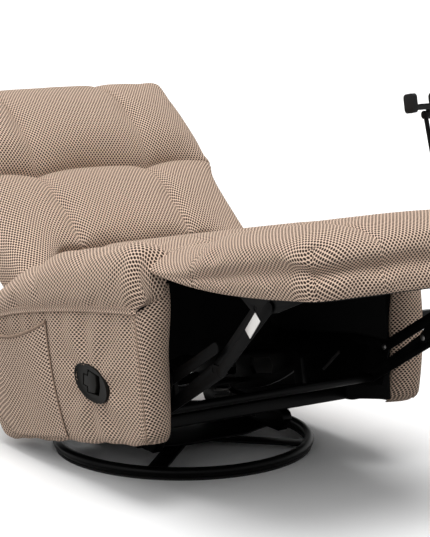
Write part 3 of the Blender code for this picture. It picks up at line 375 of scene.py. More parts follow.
black_enamel = enamel("black_enamel", (0.0012, 0.0012, 0.0013, 1.0), 0.36, 0.06)
# The links' enamel is darker and duller than the black enamel: painted shade for the links inside the
# body.
shade_darkened_link_enamel = enamel("shade_darkened_link_enamel", (0.0008, 0.0008, 0.0009, 1.0), 0.45, 0.05)
zinc = plated("zinc", (0.66, 0.65, 0.63, 1.0), 0.34)
dull_zinc = plated("dull_zinc", (0.16, 0.155, 0.15, 1.0), 0.45)
black_plastic = grained("moulded_black", (0.005, 0.005, 0.0052, 1.0), 0.46, 1500.0, 0.00005, 0.12)
handle_plastic = grained("handle_plastic", (0.0036, 0.0032, 0.0026, 1.0), 0.52, 1500.0, 0.00005, 0.08)
soft_rubber = grained("soft_rubber", (0.005, 0.005, 0.0052, 1.0), 0.75, 900.0, 0.0001, 0.15)
print("hard finishes made, materials so far:", len(bpy.data.materials))

# %% [markdown]
# The black felt that lines the body, the straps under the seat and the sewing thread are all plain weaves.
# The felt's near-black colour is partly its own and partly painted shade for the inside of the body. Three
# crossed waves do for them, because none is seen from near.

# %% Lining with painted shade, straps and thread


def woven(name, colour, pitch, depth):
    """A plain weave on the piece's Object coordinates."""
    finish = Finish(name, roughness=0.95, specular=0.15)
    turn = 2 * math.pi / pitch
    warp, weft, rise = ((part * turn).wave() for part in finish.split())
    weave = (warp * weft + rise * 0.6) * 0.3 + 0.5
    fuzz = finish.noise(60.0, 3.0)
    finish.colour(finish.mix(weave * fuzz, colour, shaded(colour, 2.4)))
    finish.bump(weave, depth)
    return finish.material


# Near black: the felt's own colour, and painted shade for the inside of the body.
black_lining_and_shade = woven("black_lining_and_shade", (0.0014, 0.0014, 0.0015, 1.0), 0.003, 0.0003)
strap_weave = woven("strap_weave", (0.006, 0.006, 0.0065, 1.0), 0.004, 0.0005)
thread = woven("thread", srgb(190, 168, 150), 0.0008, 0.0001)
print("weaves made, materials so far:", len(bpy.data.materials))

# %% [markdown]
# A cushion starts flat: a grid of cloth, pulled up into a closed block with a wall. It is laid out in its
# own coordinates first, across from -1 to 1, along from 0 to 1 and up from 0 to 1. Grid lines lie close
# together beside a seam, so that a seam can be a crisp groove. A simulation follows the order of a mesh's
# points and edges, so they are numbered by place, and each run of this lesson gives the same pads.

# %% Blocks of cloth
LAYER_RANK = 1e6    # layers count most, then rows, then columns
ROW_RANK = 1e3


def lines_between(edges, steps, tight=0.0):
    """Grid lines across sewn panels, closer together beside each seam."""
    lines = []
    for low, high in zip(edges, edges[1:]):
        first = low + tight * (low != edges[0])
        last = high - tight * (high != edges[-1])
        lines.append(low)
        for step in range(steps + 1):
            t = step / steps
            eased_t = 0.5 * t + 0.5 * (0.5 - 0.5 * math.cos(math.pi * t))
            lines.append(first + (last - first) * eased_t)
    return sorted(set(lines + [edges[-1]]))


def raised(mesh, move):
    """Pulls all faces of a bmesh off as a wall, and moves them."""
    grown = bmesh.ops.extrude_face_region(mesh, geom=mesh.faces[:])
    moved = [item for item in grown["geom"] if isinstance(item, bmesh.types.BMVert)]
    bmesh.ops.translate(mesh, vec=move, verts=moved)


def in_order(mesh):
    """Numbers the points, edges and faces of a block by place."""

    def rank(spot):
        return LAYER_RANK * round(spot.z, 4) + ROW_RANK * round(spot.y, 5) + spot.x

    mesh.verts.sort(key=lambda vert: rank(vert.co))
    mesh.edges.sort(key=lambda edge: rank(edge.verts[0].co + edge.verts[1].co))
    mesh.faces.sort(key=lambda face: rank(face.calc_center_median()))


def block(across, along, rings):
    """A closed block of cloth in its own coordinates, with rings of edges round its wall."""
    mesh = bmesh.new()
    wide, long = len(across) - 1, len(along) - 1
    bmesh.ops.create_grid(mesh, x_segments=wide, y_segments=long, size=1.0)
    for vert in mesh.verts:
        i = round((vert.co.x + 1) / 2 * wide)
        j = round((vert.co.y + 1) / 2 * long)
        vert.co = (across[i], along[j], 0.0)
    raised(mesh, (0, 0, 1))
    in_order(mesh)
    if rings:
        wall = [edge for edge in mesh.edges if abs(edge.verts[0].co.z - edge.verts[1].co.z) > 0.5]
        bmesh.ops.subdivide_edges(mesh, edges=wall, cuts=rings, use_grid_fill=True)
        in_order(mesh)
    bmesh.ops.recalc_face_normals(mesh, faces=mesh.faces)
    return mesh


print("grid lines between two seams:", [round(line, 3) for line in lines_between((0, 1), 4)])

# %% [markdown]
# A function carries each point of a block to its place on the chair. The object itself stays at the
# origin, with its place in its mesh, so that patterns on Object coordinates stay put.

# %% From a block to a piece


def new_piece(name, mesh, finish, sharp=180.0):
    """An object at the origin from a bmesh. Edges past the sharp angle stay crisp."""
    data = bpy.data.meshes.new(name)
    mesh.to_mesh(data)
    mesh.free()
    made = bpy.data.objects.new(name, data)
    bpy.context.scene.collection.objects.link(made)
    data.materials.append(finish)
    data.shade_smooth()
    if sharp < 180.0:
        data.set_sharp_from_angle(angle=math.radians(sharp))
    return made


def sew(name, across, along, rings, place, drawing, finish=cloth):
    """A padded piece and its block coordinates, one row for each vertex."""
    mesh = block(across, along, rings)
    mesh.verts.index_update()
    spots = [tuple(round(value, 5) for value in vert.co) for vert in mesh.verts]
    for vert in mesh.verts:
        vert.co = drawing @ Vector(place(*vert.co))
    mesh.normal_update()
    if mesh.calc_volume(signed=True) < 0:
        bmesh.ops.reverse_faces(mesh, faces=mesh.faces)
    return new_piece(name, mesh, finish), spots


def seat_on(piece, body, slot, *replaced):
    """A finished piece rides on its body and stands for the frame's plain solids."""
    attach(piece, body)
    if replaced:
        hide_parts(*replaced)


def eased(t):
    """A soft step from 0 to 1."""
    t = min(max(t, 0.0), 1.0)
    return t * t * (3 - 2 * t)


def notch(distance, width):
    """1 on a line, falling off on both sides."""
    return math.exp(-(distance / width) ** 2)


def near(value, *lines):
    """True on one of the lines."""
    return any(abs(value - line) < 1e-6 for line in lines)


print("half way up a soft step:", eased(0.5))

# %% [markdown]
# Cloth has its own coordinates, and they aren't those of the room: a thread runs over the pad's crown and
# down its wall. So they are measured over the finished surface, from its middle outwards, as a real piece
# of cloth would lie on it. An unwrap would stretch the holes unevenly, and this keeps them even.

# %% Lay the cloth


def walked(points):
    """How far it is along rows of points, from the first point of each row."""
    steps = np.linalg.norm(np.diff(points, axis=1), axis=2)
    return np.concatenate([np.zeros((len(points), 1)), np.cumsum(steps, axis=1)], axis=1)


def from_middle(ways):
    """The same, from the middle point of each row."""
    return ways - ways[:, ways.shape[1] // 2, None]


def lay_cloth(piece, spots, way=None, turned_in=False):
    """Thread coordinates in metres. The underside gets the near-black lining, partly painted shade, inside
    its edge if the cloth is turned in.
    """
    us, vs, ts = (sorted(set(values)) for values in zip(*spots))
    at = {spot: np.array(vert.co) for spot, vert in zip(spots, piece.data.vertices)}
    top = np.array([[at[u, v, ts[-1]] for u in us] for v in vs])
    far_u = from_middle(walked(top))
    far_v = from_middle(walked(top.transpose(1, 0, 2))).T
    rim = [(u, v) for u in us for v in vs if u in (us[0], us[-1]) or v in (vs[0], vs[-1])]
    reach = walked(np.array([[at[u, v, t] for t in reversed(ts)] for u, v in rim]))
    down = {(u, v, t): far for (u, v), row in zip(rim, reach) for t, far in zip(reversed(ts), row)}
    column = {u: i for i, u in enumerate(us)}
    row_of = {v: j for j, v in enumerate(vs)}
    layer = piece.data.uv_layers.new(name="cloth")
    piece.data.materials.append(black_lining_and_shade)
    for face in piece.data.polygons:
        corners = [spots[index] for index in face.vertices]
        on_side = len({corner[0] for corner in corners}) == 1
        on_end = len({corner[1] for corner in corners}) == 1
        under = all(corner[2] == ts[0] for corner in corners)
        at_edge = any(u in (us[0], us[-1]) or v in (vs[0], vs[-1]) for u, v, t in corners)
        face.material_index = int(under and not (turned_in and at_edge))
        for loop, (u, v, t) in zip(face.loop_indices, corners):
            i, j = column[u], row_of[v]
            across = far_u[j, i] + (math.copysign(down[u, v, t], u) if on_side else 0.0)
            along = far_v[j, i] + (math.copysign(down[u, v, t], v - 0.5) if on_end else 0.0)
            layer.data[loop].uv = way(across, along) if way else (across, along)


def smooth_out(piece):
    """One level of subdivision, the same in the viewport and the render."""
    change = piece.modifiers.new("subdivision", "SUBSURF")
    change.levels = 1
    change.render_levels = 1


def cover_pad(piece, spots, body, replaced, way=None, turned_in=False):
    """Gives a sewn pad its cloth, its last smoothing, its body and its place in the frame."""
    lay_cloth(piece, spots, way, turned_in)
    smooth_out(piece)
    seat_on(piece, body, "mesh_cloth", *replaced)


print("steps of 3 and 4 mm walk to", walked(np.array([[(0, 0, 0), (3, 0, 0), (3, 4, 0)]])).max(), "mm")

# %% [markdown]
# Air pressure does what a sculptor would have to guess: it rounds a sewn cell between its seams and pulls
# its edges in. Some points are pinned, gravity is off, and twenty frames are enough. A cap on the travel
# of each point keeps the pad in the room that the frame gives it.

# %% Blow up a cushion
SIMULATED_FRAMES = 20
PRESSURE = 3.0
STRETCH = 0.02


def simulated(piece, held, pressure, stretch):
    """Where the points of a pad end under pressure. held says which of them are pinned."""
    group = piece.vertex_groups.new(name="held")
    group.add([index for index, pinned in enumerate(held) if pinned], 1.0, "REPLACE")
    swell = piece.modifiers.new("cloth", "CLOTH")
    swell.settings.vertex_group_mass = group.name
    swell.settings.use_pressure = True
    swell.settings.uniform_pressure_force = pressure
    swell.settings.effector_weights.gravity = 0.0
    swell.settings.shrink_min = -stretch
    swell.point_cache.frame_end = SIMULATED_FRAMES
    for number in range(1, SIMULATED_FRAMES + 1):
        bpy.context.scene.frame_set(number)
    shown = piece.evaluated_get(bpy.context.evaluated_depsgraph_get())
    end = np.array([vert.co for vert in shown.data.vertices])
    piece.modifiers.remove(swell)
    piece.vertex_groups.remove(group)
    bpy.context.scene.frame_set(1)
    return end


def puff(piece, spots, pinned, most, pressure=PRESSURE, stretch=STRETCH):
    """Swells a pad by a short cloth simulation, each point by at most so much."""
    start = np.array([vert.co for vert in piece.data.vertices])
    travel = simulated(piece, [pinned(*spot) for spot in spots], pressure, stretch) - start
    length = np.linalg.norm(travel, axis=1)
    share = np.minimum(1.0, most / np.maximum(length, 1e-9))
    piece.data.vertices.foreach_set("co", (start + travel * share[:, None]).ravel())
    piece.data.update()
    print(piece.name, "swelled by up to", round(min(length.max(), most) * 1000, 1), "mm")


print("a simulation runs for", SIMULATED_FRAMES, "frames")

# %% [markdown]
# The back is one big pad, sewn into three columns and two rows. The seams pull the cover down to the foam,
# and the cells between them swell. First come its outlines: how far it swells at each height and width.

# %% Swell of the back
CHANNEL = 0.166             # seam of the columns, from the middle
BACK_ROW = 0.358            # height of the row seam
BACK_SEAM_DEPTH = 0.086     # foam under the row seam
LOWER_ROW = 0.58            # the lower row's swell as a share of the upper row's
COLUMN_RISE = 0.055
MIDDLE_CROWN = 0.014
SIDE_CROWN = 0.012
back_low, back_high = box_in("back_cushion", BACK)
back_half = back_high.x - 0.002
back_seam = CHANNEL / back_half
back_row = (BACK_ROW - back_low.z) / (back_high.z - back_low.z)


def swelled(w, crest, round_by, droop, reach):
    """Rises from 0 at a seam to 1 at the crest, then droops towards the far edge."""
    if w < crest:
        return 1 - (1 - w / crest) ** round_by
    return 1 - droop * ((w - crest) / reach) ** 2


def row_swell(v):
    """How far a row of cells swells at a height: 0 on the row seam, 1 in the upper row's middle."""
    if v >= back_row:
        return swelled((v - back_row) / (1 - back_row), 0.5, 4, 0.6, 0.38)
    return LOWER_ROW * swelled((back_row - v) / back_row, 0.56, 3, 0.22, 0.32)


def between_seams(u):
    """1 in the middle of a column and 0 on its seams."""
    if abs(u) < back_seam:
        return 1 - (u / back_seam) ** 2
    return 1 - ((2 * abs(u) - 1 - back_seam) / (1 - back_seam)) ** 2


def column_swell(u, edge):
    """How far the columns swell: most in the middle, and by edge at the outer edges."""
    if abs(u) < back_seam:
        return COLUMN_RISE + MIDDLE_CROWN * between_seams(u)
    w = (abs(u) - back_seam) / (1 - back_seam)
    return COLUMN_RISE * (1 - w ** 2.2) + edge * w + SIDE_CROWN * math.sin(math.pi * w)


print("row seam at", round(back_row, 3), "and column seams at", round(back_seam, 3), "of the pad")

# %% [markdown]
# Now the pad itself. It is drawn in at the row seam, its top corners are round, and its lower corners hang
# down behind the arms, so that nobody sees through there.

# %% Back cushion
SEAM_GROOVE = 0.006
SEAM_WIDTH = 0.003
BACK_DRAWN_IN = 0.009       # at the row seam, on each side
BACK_TAPER = 0.014          # further in at the foot
BACK_CORNER = 0.014
BACK_FLAP = 0.085           # how far the lower corners hang down
BACK_ARCH = 0.013           # how far the row seam rises between the columns


def back_place(u, v, t):
    upper = v >= back_row
    w = (v - back_row) / (1 - back_row) if upper else (back_row - v) / back_row
    half = back_half - BACK_DRAWN_IN
    half += BACK_DRAWN_IN * math.sin(math.pi * w) ** 0.6 if upper else -BACK_TAPER * w
    corner = BACK_CORNER * max(0.0, (abs(u) - 0.9) / 0.1) ** 2.2
    dip = 0.003 * notch(abs(u) * back_half - CHANNEL, 0.012)
    top = back_high.z - 0.006 - corner - dip
    hanging = BACK_FLAP * eased((abs(u) - 0.6) / 0.25) * max(0.0, 1 - v / 0.3)
    arch = BACK_ARCH * between_seams(u) * notch(v - back_row, 0.14)
    z = back_low.z - hanging + (top - back_low.z) * v + arch
    depth = BACK_SEAM_DEPTH + row_swell(v) * column_swell(u, 0.0 if upper else -0.028)
    off_column = abs(abs(u) - back_seam) * back_half
    off_row = abs(v - back_row) * (back_high.z - back_low.z)
    depth -= SEAM_GROOVE * notch(min(off_column, off_row), SEAM_WIDTH)
    return u * (half + 0.004 * math.sin(math.pi * t)), -0.0004 - depth * t, z


def back_pinned(u, v, t):
    on_seam = near(u, -back_seam, back_seam) or near(v, back_row)
    return t < 0.1 or (t > 0.9 and on_seam)


across = lines_between((-1, -back_seam, back_seam, 1), 11, 0.011)
along = lines_between((0, back_row, 1), 14, 0.007)
back_pad, spots = sew("back_pad", across, along, 4, back_place, BACK)
puff(back_pad, spots, back_pinned, 0.008)
cover_pad(back_pad, spots, "back", ["back_cushion"])
print("back pad:", len(back_pad.data.polygons), "faces before smoothing")

# %% [markdown]
# Below it lies the lumbar roll, between the arms. It is sewn in the same three columns.

# %% Lumbar roll
LUMBAR_DEPTH = 0.072
LUMBAR_CROWN = 0.016
lumbar_low, lumbar_high = box_in("lumbar_cushion", BACK)
lumbar_half = lumbar_high.x - 0.002
lumbar_seam = CHANNEL / lumbar_half


def lumbar_place(u, v, t):
    arch = (1 - abs(u) ** 6) * (1 - abs(2 * v - 1) ** 4)
    pulled = SEAM_GROOVE * notch((abs(u) - lumbar_seam) * lumbar_half, SEAM_WIDTH)
    depth = LUMBAR_DEPTH + LUMBAR_CROWN * arch ** 0.6 - pulled
    z = lumbar_low.z + (lumbar_high.z - lumbar_low.z) * v
    return u * lumbar_half, -0.0004 - depth * t, z


def lumbar_pinned(u, v, t):
    on_edge = near(v, 0, 1) or near(u, -1, 1)
    return t < 0.1 or on_edge or (t > 0.9 and near(u, -lumbar_seam, lumbar_seam))


across = lines_between((-1, -lumbar_seam, lumbar_seam, 1), 8, 0.014)
lumbar_pad, spots = sew("lumbar_pad", across, lines_between((0, 1), 9), 4, lumbar_place, BACK)
puff(lumbar_pad, spots, lumbar_pinned, 0.012)
cover_pad(lumbar_pad, spots, "back", ["lumbar_cushion"])
print("lumbar roll:", len(lumbar_pad.data.polygons), "faces before smoothing")

# %% [markdown]
# The seat cushion lies between the arms on its webbing. Its sides are tucked in beside the arms, so only
# the top swells.

# %% Seat cushion
SEAT_DEPTH = 0.036
SEAT_CROWN = 0.014
SEAT_TUCK = 0.007
seat_low, seat_high = box_in("seat_cushion", LEVEL)
seat_half = seat_high.x - 0.001
seat_seam = CHANNEL / seat_half


def seat_place(u, v, t):
    fall = max(0.0, 1 - 2 * v) ** 6 + 0.4 * max(0.0, 2 * v - 1) ** 5
    arch = (1 - abs(u) ** 6) * (1 - fall)
    pulled = SEAM_GROOVE * notch((abs(u) - seat_seam) * seat_half, SEAM_WIDTH)
    depth = SEAT_DEPTH + SEAT_CROWN * arch ** 0.6 - pulled
    y = seat_high.y + (seat_low.y - seat_high.y) * v
    return u * (seat_half + SEAT_TUCK), y, seat_low.z + depth * t


def seat_pinned(u, v, t):
    on_edge = near(u, -1, 1) or near(v, 0, 1)
    return t < 0.1 or on_edge or (t > 0.9 and near(u, -seat_seam, seat_seam))


across = lines_between((-1, -seat_seam, seat_seam, 1), 9, 0.014)
seat_pad, spots = sew("seat_pad", across, lines_between((0, 1), 24), 3, seat_place, LEVEL)
puff(seat_pad, spots, seat_pinned, 0.022)
cover_pad(seat_pad, spots, "seat_body", ["seat_cushion"])
print("seat pad:", len(seat_pad.data.polygons), "faces before smoothing")

# %% [markdown]
# The footrest looks like one long pillow that starts at the seat and ends beyond the feet, with a boxing
# band round its side. In truth it is two pads: a short bridge that folds away with the linkage, and the
# pad on the footrest board. Both follow the same lines, seen from the side: the lower edge, the seam over
# the band, the crest and the width. So they meet without a step.

# %% Footrest lines
FOOT_FRONT_EDGE = -1.043
FOOT_HALF_REAR = 0.356
FOOT_HALF_FRONT = 0.311
FOOT_LOW = 0.349        # lower edge at the front
FOOT_SEAM = 0.4165      # seam over the band
FOOT_CREST = 0.498
FOOT_CHANNEL = 0.5      # column seams, as a share of the half width
BAND_SHARE = 0.5        # the band's share of the wall
bridge_low, bridge_high = box_in("bridge_pad", LEVEL)
MEETING = bridge_low.y
BRIDGE_REAR = bridge_high.y


def foot_bottom(y):
    """Lower edge of the pillow: nearly straight in front, rising to the seat."""
    ahead = max(0.0, y - FOOT_FRONT_EDGE)
    return FOOT_LOW + 0.075 * ahead + 0.32 * ahead ** 3


def foot_seam(y):
    """Seam over the boxing band, which tapers to nothing at the rear corner."""
    rear = 0.94 * max(0.0, y + 0.68) ** 2
    front = 0.010 * max(0.0, (-0.98 - y) / 0.063) ** 2
    return max(FOOT_SEAM + rear - front, foot_bottom(y) + 0.003)


def foot_half(y):
    way = (BRIDGE_REAR - y) / (BRIDGE_REAR - FOOT_FRONT_EDGE)
    return FOOT_HALF_REAR + (FOOT_HALF_FRONT - FOOT_HALF_REAR) * way


print("footrest from", round(BRIDGE_REAR, 3), "over", round(MEETING, 3), "to", FOOT_FRONT_EDGE)

# %% [markdown]
# Across, the pillow has three columns with a crown each. Its wall bulges twice, below and above the seam
# of the band, and the seam between is pulled in.

# %% Footrest section
BAND_BULGE = 0.006
TOP_BULGE = 0.009
BAND_PULL = 0.011
SIDE_COLUMN = 0.012         # crown of an outer column
MIDDLE_COLUMN = 0.002


def wall_out(y, t):
    """How far the wall stands out: the band bulges, its seam is pulled in, and the top hangs over it."""
    full = eased((-0.57 - y) / 0.20)
    way = t / BAND_SHARE if t < BAND_SHARE else (t - BAND_SHARE) / (1 - BAND_SHARE)
    bulge = BAND_BULGE if t < BAND_SHARE else TOP_BULGE
    return full * (bulge * math.sin(math.pi * way) - BAND_PULL * notch(t - BAND_SHARE, 0.06))


def column_bulge(u, half):
    """The crown of a column between its seams, with the groove on the seam."""
    middle = abs(u) < FOOT_CHANNEL
    w = abs(u) / FOOT_CHANNEL if middle else (2 * abs(u) - 1 - FOOT_CHANNEL) / (1 - FOOT_CHANNEL)
    groove = 1.2 * SEAM_GROOVE * notch((abs(u) - FOOT_CHANNEL) * half, SEAM_WIDTH)
    return (MIDDLE_COLUMN if middle else SIDE_COLUMN) * (1 - w * w) - groove


def pillow_point(u, y, t, roll):
    """A point of the pillow. roll is how far the top has rolled down to the front edge."""
    half, low_z, seam_z = foot_half(y), foot_bottom(y), foot_seam(y)
    x = u * (half + wall_out(y, t))
    if t <= BAND_SHARE:
        return x, y, low_z + (seam_z - low_z) * t / BAND_SHARE
    rounded = max(0.0, 1 - abs(u) ** 2.6) ** 0.55 * (1 - roll)
    shoulder = 0.42 * eased((-0.52 - y) / 0.20) + 0.18 * roll
    ends = 0.010 * max(0.0, (-0.86 - y) / 0.18) ** 2 + 0.012 * eased((y + 0.66) / 0.16)
    crest = max(FOOT_CREST - ends - seam_z, 0.004)
    rise = crest * (shoulder + (1 - shoulder) * rounded) + column_bulge(u, half) * rounded
    return x, y, seam_z + rise * (t - BAND_SHARE) / (1 - BAND_SHARE)


def on_foot_seam(u, t):
    """True under the pillow, on the seam of the band and on the column seams."""
    return t < 0.1 or near(t, BAND_SHARE) or (t > 0.9 and near(u, -FOOT_CHANNEL, FOOT_CHANNEL))


foot_across = lines_between((-1, -FOOT_CHANNEL, FOOT_CHANNEL, 1), 11, 0.012)
print("footrest crest at", round(pillow_point(0, -0.8, 1, 0)[2], 3), "m")

# %% [markdown]
# The pad over the board. Its front end rolls down to the band, and its three columns end there too. The
# band's seam is pinned all round, so that the top swells over it like a muffin.

# %% Footrest pad


def past(v, start):
    """0 up to a start and 1 at the front end."""
    return max(0.0, (v - start) / (1 - start))


def footrest_place(u, v, t):
    y = MEETING + (FOOT_FRONT_EDGE - MEETING) * v
    x, y, z = pillow_point(u, y, t, past(v, 0.74) ** 3)
    bow = 0.014 * (1 - u * u) * past(v, 0.7) ** 2
    corner = 0.030 * past(abs(u), 0.75) ** 2.5 * past(v, 0.8) ** 2
    narrow = 1 - 0.07 * past(v, 0.8) ** 2.5 * abs(u) ** 4
    return x * narrow, y - bow + corner - wall_out(y, t) * past(v, 0.94), z


def footrest_pinned(u, v, t):
    return near(v, 0) or on_foot_seam(u, t)


foot_pad, spots = sew("foot_pad", foot_across, lines_between((0, 1), 26), 7, footrest_place, LEVEL)
puff(foot_pad, spots, footrest_pinned, 0.008)
cover_pad(foot_pad, spots, "footrest", ["footrest_pad"])
print("footrest pad:", len(foot_pad.data.polygons), "faces before smoothing")

# %% [markdown]
# The bridge fills the room between the seat and the footrest pad. When the footrest folds, the real one
# crumples flat against the seat front. Here it rides on the seat's body with a mesh of its own.


def bridge_place(u, v, t):
    return pillow_point(u, BRIDGE_REAR + (MEETING - BRIDGE_REAR) * v, t, 0.0)


def bridge_pinned(u, v, t):
    return near(v, 0, 1) or on_foot_seam(u, t)


bridge_cover, spots = sew("bridge_cover", foot_across, lines_between((0, 1), 11), 7, bridge_place, LEVEL)
puff(bridge_cover, spots, bridge_pinned, 0.006)
cover_pad(bridge_cover, spots, "seat_body", ["bridge_pad"])
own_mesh(bridge_cover)

# %% [markdown]
# The body's side is a board with a padded cover. Its top seam bows up a little under the arm. In front,
# the cover runs on round the corner and up to a crease under the arm's nose. These lines are shared by
# the arm pillow above the seam and the side panel below it.

# %% Lines of the body's side
BODY_BOTTOM = 0.066
BODY_REAR = 0.262
BODY_FRONT = -0.488
PANEL_TOP = 0.365
PANEL_INNER = 0.3045
PANEL_OUTER = 0.374
PANEL_FLARE = 0.017     # how much wider the panel is at its top
PANEL_CORNER = 0.018
PANEL_PAD = 0.010
SIDE_SEAM = 0.3775
CREASE = 0.392


def body_seam(y):
    """Height of the seam between the arm and the side panel."""
    return SIDE_SEAM - 0.09 * (y + 0.03) ** 2 - 0.25 * max(0.0, y - 0.02) ** 2


def crease(x):
    """Height of the crease on the arm's front, which climbs from the corner to the inner edge."""
    return CREASE + 0.018 * min(max((PANEL_OUTER + PANEL_FLARE - x) / 0.09, 0.0), 1.0) ** 0.7


def panel_front(z, share):
    """Front of the arm at a height. share is 0 at the inner edge and 1 at the outer corner."""
    drop = max(0.0, PANEL_TOP - z) / (PANEL_TOP - BODY_BOTTOM)
    lean = 0.012 - 0.030 * eased((z - 0.24) / 0.15)
    return BODY_FRONT + 0.036 * drop ** 2.2 + (1 - share) * lean


def panel_face(y, z):
    """How far out the padded panel stands."""
    t = min(max((z - BODY_BOTTOM) / (PANEL_TOP - BODY_BOTTOM), 0.0), 1.0)
    swell = 0.006 * math.sin(math.pi * t) ** 0.8
    hem = 0.010 * max(0.0, 1 - t / 0.06) ** 2
    s = min(max((y + 0.455) / 0.717, 0.0), 1.0)
    return PANEL_OUTER + PANEL_FLARE * t + swell - hem + 0.004 * math.sin(math.pi * s)


print("side seam from", round(body_seam(BODY_FRONT), 3), "to", round(body_seam(BODY_REAR), 3))

# %% [markdown]
# Each arm is a pillow that lies over the side board, hangs over the side panel outside and stops at the
# seat inside. It is level in front and falls to the rear.

# %% Arm pillows
ARM_TOP = 0.512
ARM_LEVEL_TO = -0.22
ARM_FALL = 0.489
ARM_CORNER = 0.026
BOARD_TOP = 0.4395          # under the arm's front
BOARD_TOP_REAR = 0.4195
BOARD_DIP = 0.0505


def arm_height(y):
    return ARM_TOP - ARM_FALL * max(0.0, y - ARM_LEVEL_TO) ** 1.9


def arm_foot(x, y, ahead, inner):
    """Underside of the arm: on the board inside, down to the seam or the crease outside."""
    board = BOARD_TOP if y < 0.05 else BOARD_TOP_REAR - BOARD_DIP * min(1.0, max(0.0, y - 0.06) / 0.19)
    outside = eased((x - inner - 0.026) / 0.014)
    hung = body_seam(y) - 0.012
    hung += (crease(x) - 0.022 - hung) * eased(1 - ahead / 0.030)
    return board + (hung - board) * outside


def arm_cloth(across, along):
    """The arm's cloth is stretched both ways."""
    return 0.9 * across, 0.75 * along


def arm_pinned(u, v, t):
    return t < 0.1


def arm_pillow(side, word):
    low, high = box_in("arm_pad_" + word, LEVEL)
    inner, outer = sorted((abs(low.x), abs(high.x)))
    middle, half = (inner + outer) / 2, (outer - inner) / 2 - 0.002
    long = high.y - low.y

    def place(u, v, t):
        turn = u * math.pi / 2
        ahead = long * v
        y = low.y + ahead
        outward = (math.sin(turn) + 1) / 2
        from_end = min(ahead, long - ahead)
        quarter = 1 - math.sqrt(1 - max(0.0, 1 - from_end / ARM_CORNER) ** 2)
        x = middle + half * math.sin(turn) - ARM_CORNER * quarter * outward ** 2
        low_z = arm_foot(x, y, ahead, inner)
        nose = 0.020 * max(0.0, 1 - ahead / 0.05) ** 2 + 0.030 * past(v, 0.94) ** 2
        crown = arm_height(y) - 0.004 - nose
        shoulder = low_z + 0.010 + 0.034 * outward
        top = shoulder + (crown - shoulder) * max(0.0, math.cos(turn)) ** 0.8
        tuck = 0.012 * outward * (1 - t) ** 1.5
        share = min(max((x - PANEL_INNER) / (PANEL_OUTER + PANEL_FLARE - PANEL_INNER), 0.0), 1.0)
        over = max(0.003, low.y + 0.009 - panel_front(0.39, share))
        forward = over * (1 - t) ** 0.6 * max(0.0, 1 - ahead / 0.035)
        return side * (x - tuck), y - forward, low_z + (top - low_z) * t

    across = [-1 + k / 10 for k in range(21)]
    pillow, spots = sew("arm_pillow_" + word, across, lines_between((0, 1), 46), 4, place, LEVEL)
    puff(pillow, spots, arm_pinned, 0.008)
    cover_pad(pillow, spots, "seat_body", ["arm_pad_" + word], arm_cloth, True)
    return pillow


arms = [arm_pillow(side, word) for side, word in SIDES]
print("arms:", [len(arm.data.polygons) for arm in arms], "faces before smoothing")

# %% [markdown]
# The handle on the right side is a leaf-shaped cup, longer than it is high, with its front end low. The
# side panel needs its outline for the hole and for the pulls in the cloth around it.

# %% Handle outline
HANDLE = Vector((-0.268, 0.205))
HANDLE_LONG = 0.066
HANDLE_HIGH = 0.043
HANDLE_TILT = math.radians(14.0)
HANDLE_SHEAR = 0.33
LEAF_FULLNESS = 0.92


def leaf(angle, inset=0.0):
    """A point of the handle's outline in the side plane."""
    c, s = math.cos(angle), math.sin(angle)
    y = (HANDLE_LONG - inset) * math.copysign(abs(c) ** LEAF_FULLNESS, c)
    z = (HANDLE_HIGH - inset) * math.copysign(abs(s) ** LEAF_FULLNESS, s)
    up = y * math.sin(HANDLE_TILT) + z * math.cos(HANDLE_TILT)
    along = y * math.cos(HANDLE_TILT) - z * math.sin(HANDLE_TILT) + HANDLE_SHEAR * up
    return HANDLE + Vector((along, up))


def leaf_prism(low_x, high_x, inset=0.0):
    """A bmesh prism with the handle's outline, between two depths of the side panel."""
    mesh = bmesh.new()
    bmesh.ops.create_circle(mesh, cap_ends=True, segments=64, radius=1.0)
    for vert in mesh.verts:
        spot = leaf(math.atan2(vert.co.y, vert.co.x), inset)
        vert.co = (high_x, spot.x, spot.y)
    raised(mesh, (low_x - high_x, 0, 0))
    bmesh.ops.recalc_face_normals(mesh, faces=mesh.faces)
    return mesh


def cut_away(piece, cutter_mesh):
    """Cuts a bmesh of the level drawing out of a piece, and applies the cut."""
    bmesh.ops.transform(cutter_mesh, matrix=LEVEL, verts=cutter_mesh.verts)
    cutter = new_piece("cutter", cutter_mesh, piece.data.materials[0])
    change = piece.modifiers.new("cut", "BOOLEAN")
    change.operation = "DIFFERENCE"
    change.solver = "EXACT"
    change.object = cutter
    shown = piece.evaluated_get(bpy.context.evaluated_depsgraph_get())
    result = bpy.data.meshes.new_from_object(shown)
    piece.modifiers.remove(change)
    piece.data = result
    bpy.data.objects.remove(cutter, do_unlink=True)


print("handle", round(2000 * HANDLE_LONG), "by", round(2000 * HANDLE_HIGH), "mm before its slant")

# %% [markdown]
# A panel's cover is one strip of cloth that runs round the front corner, along the side and round the
# rear corner, so its thread runs round the corners too. Here is the path of that strip, seen from above,
# at each height. Soft folds run down from the seam, up from the hem and out from the handle, where the
# cover is pulled.

# %% Path of a side cover


def folds(y, z, with_handle):
    """Soft pulls in the cover: down from the seam, up from the hem, and fanning from the handle."""
    from_seam = max(0.0, (z - 0.22) / 0.15)
    pull = 0.0022 * math.sin(75 * y + 2.2 * math.sin(11 * y) + 6 * (z - 0.37)) * from_seam
    pull += 0.0020 * math.sin(50 * y + 3 + 9 * z) * max(0.0, (0.16 - z) / 0.10)
    if with_handle:
        away = Vector((y, z)) - HANDLE
        fan = math.sin(7 * math.atan2(away.y, away.x) + 0.6)
        pull += 0.0032 * fan * notch(away.length - 0.095, 0.045)
    return pull


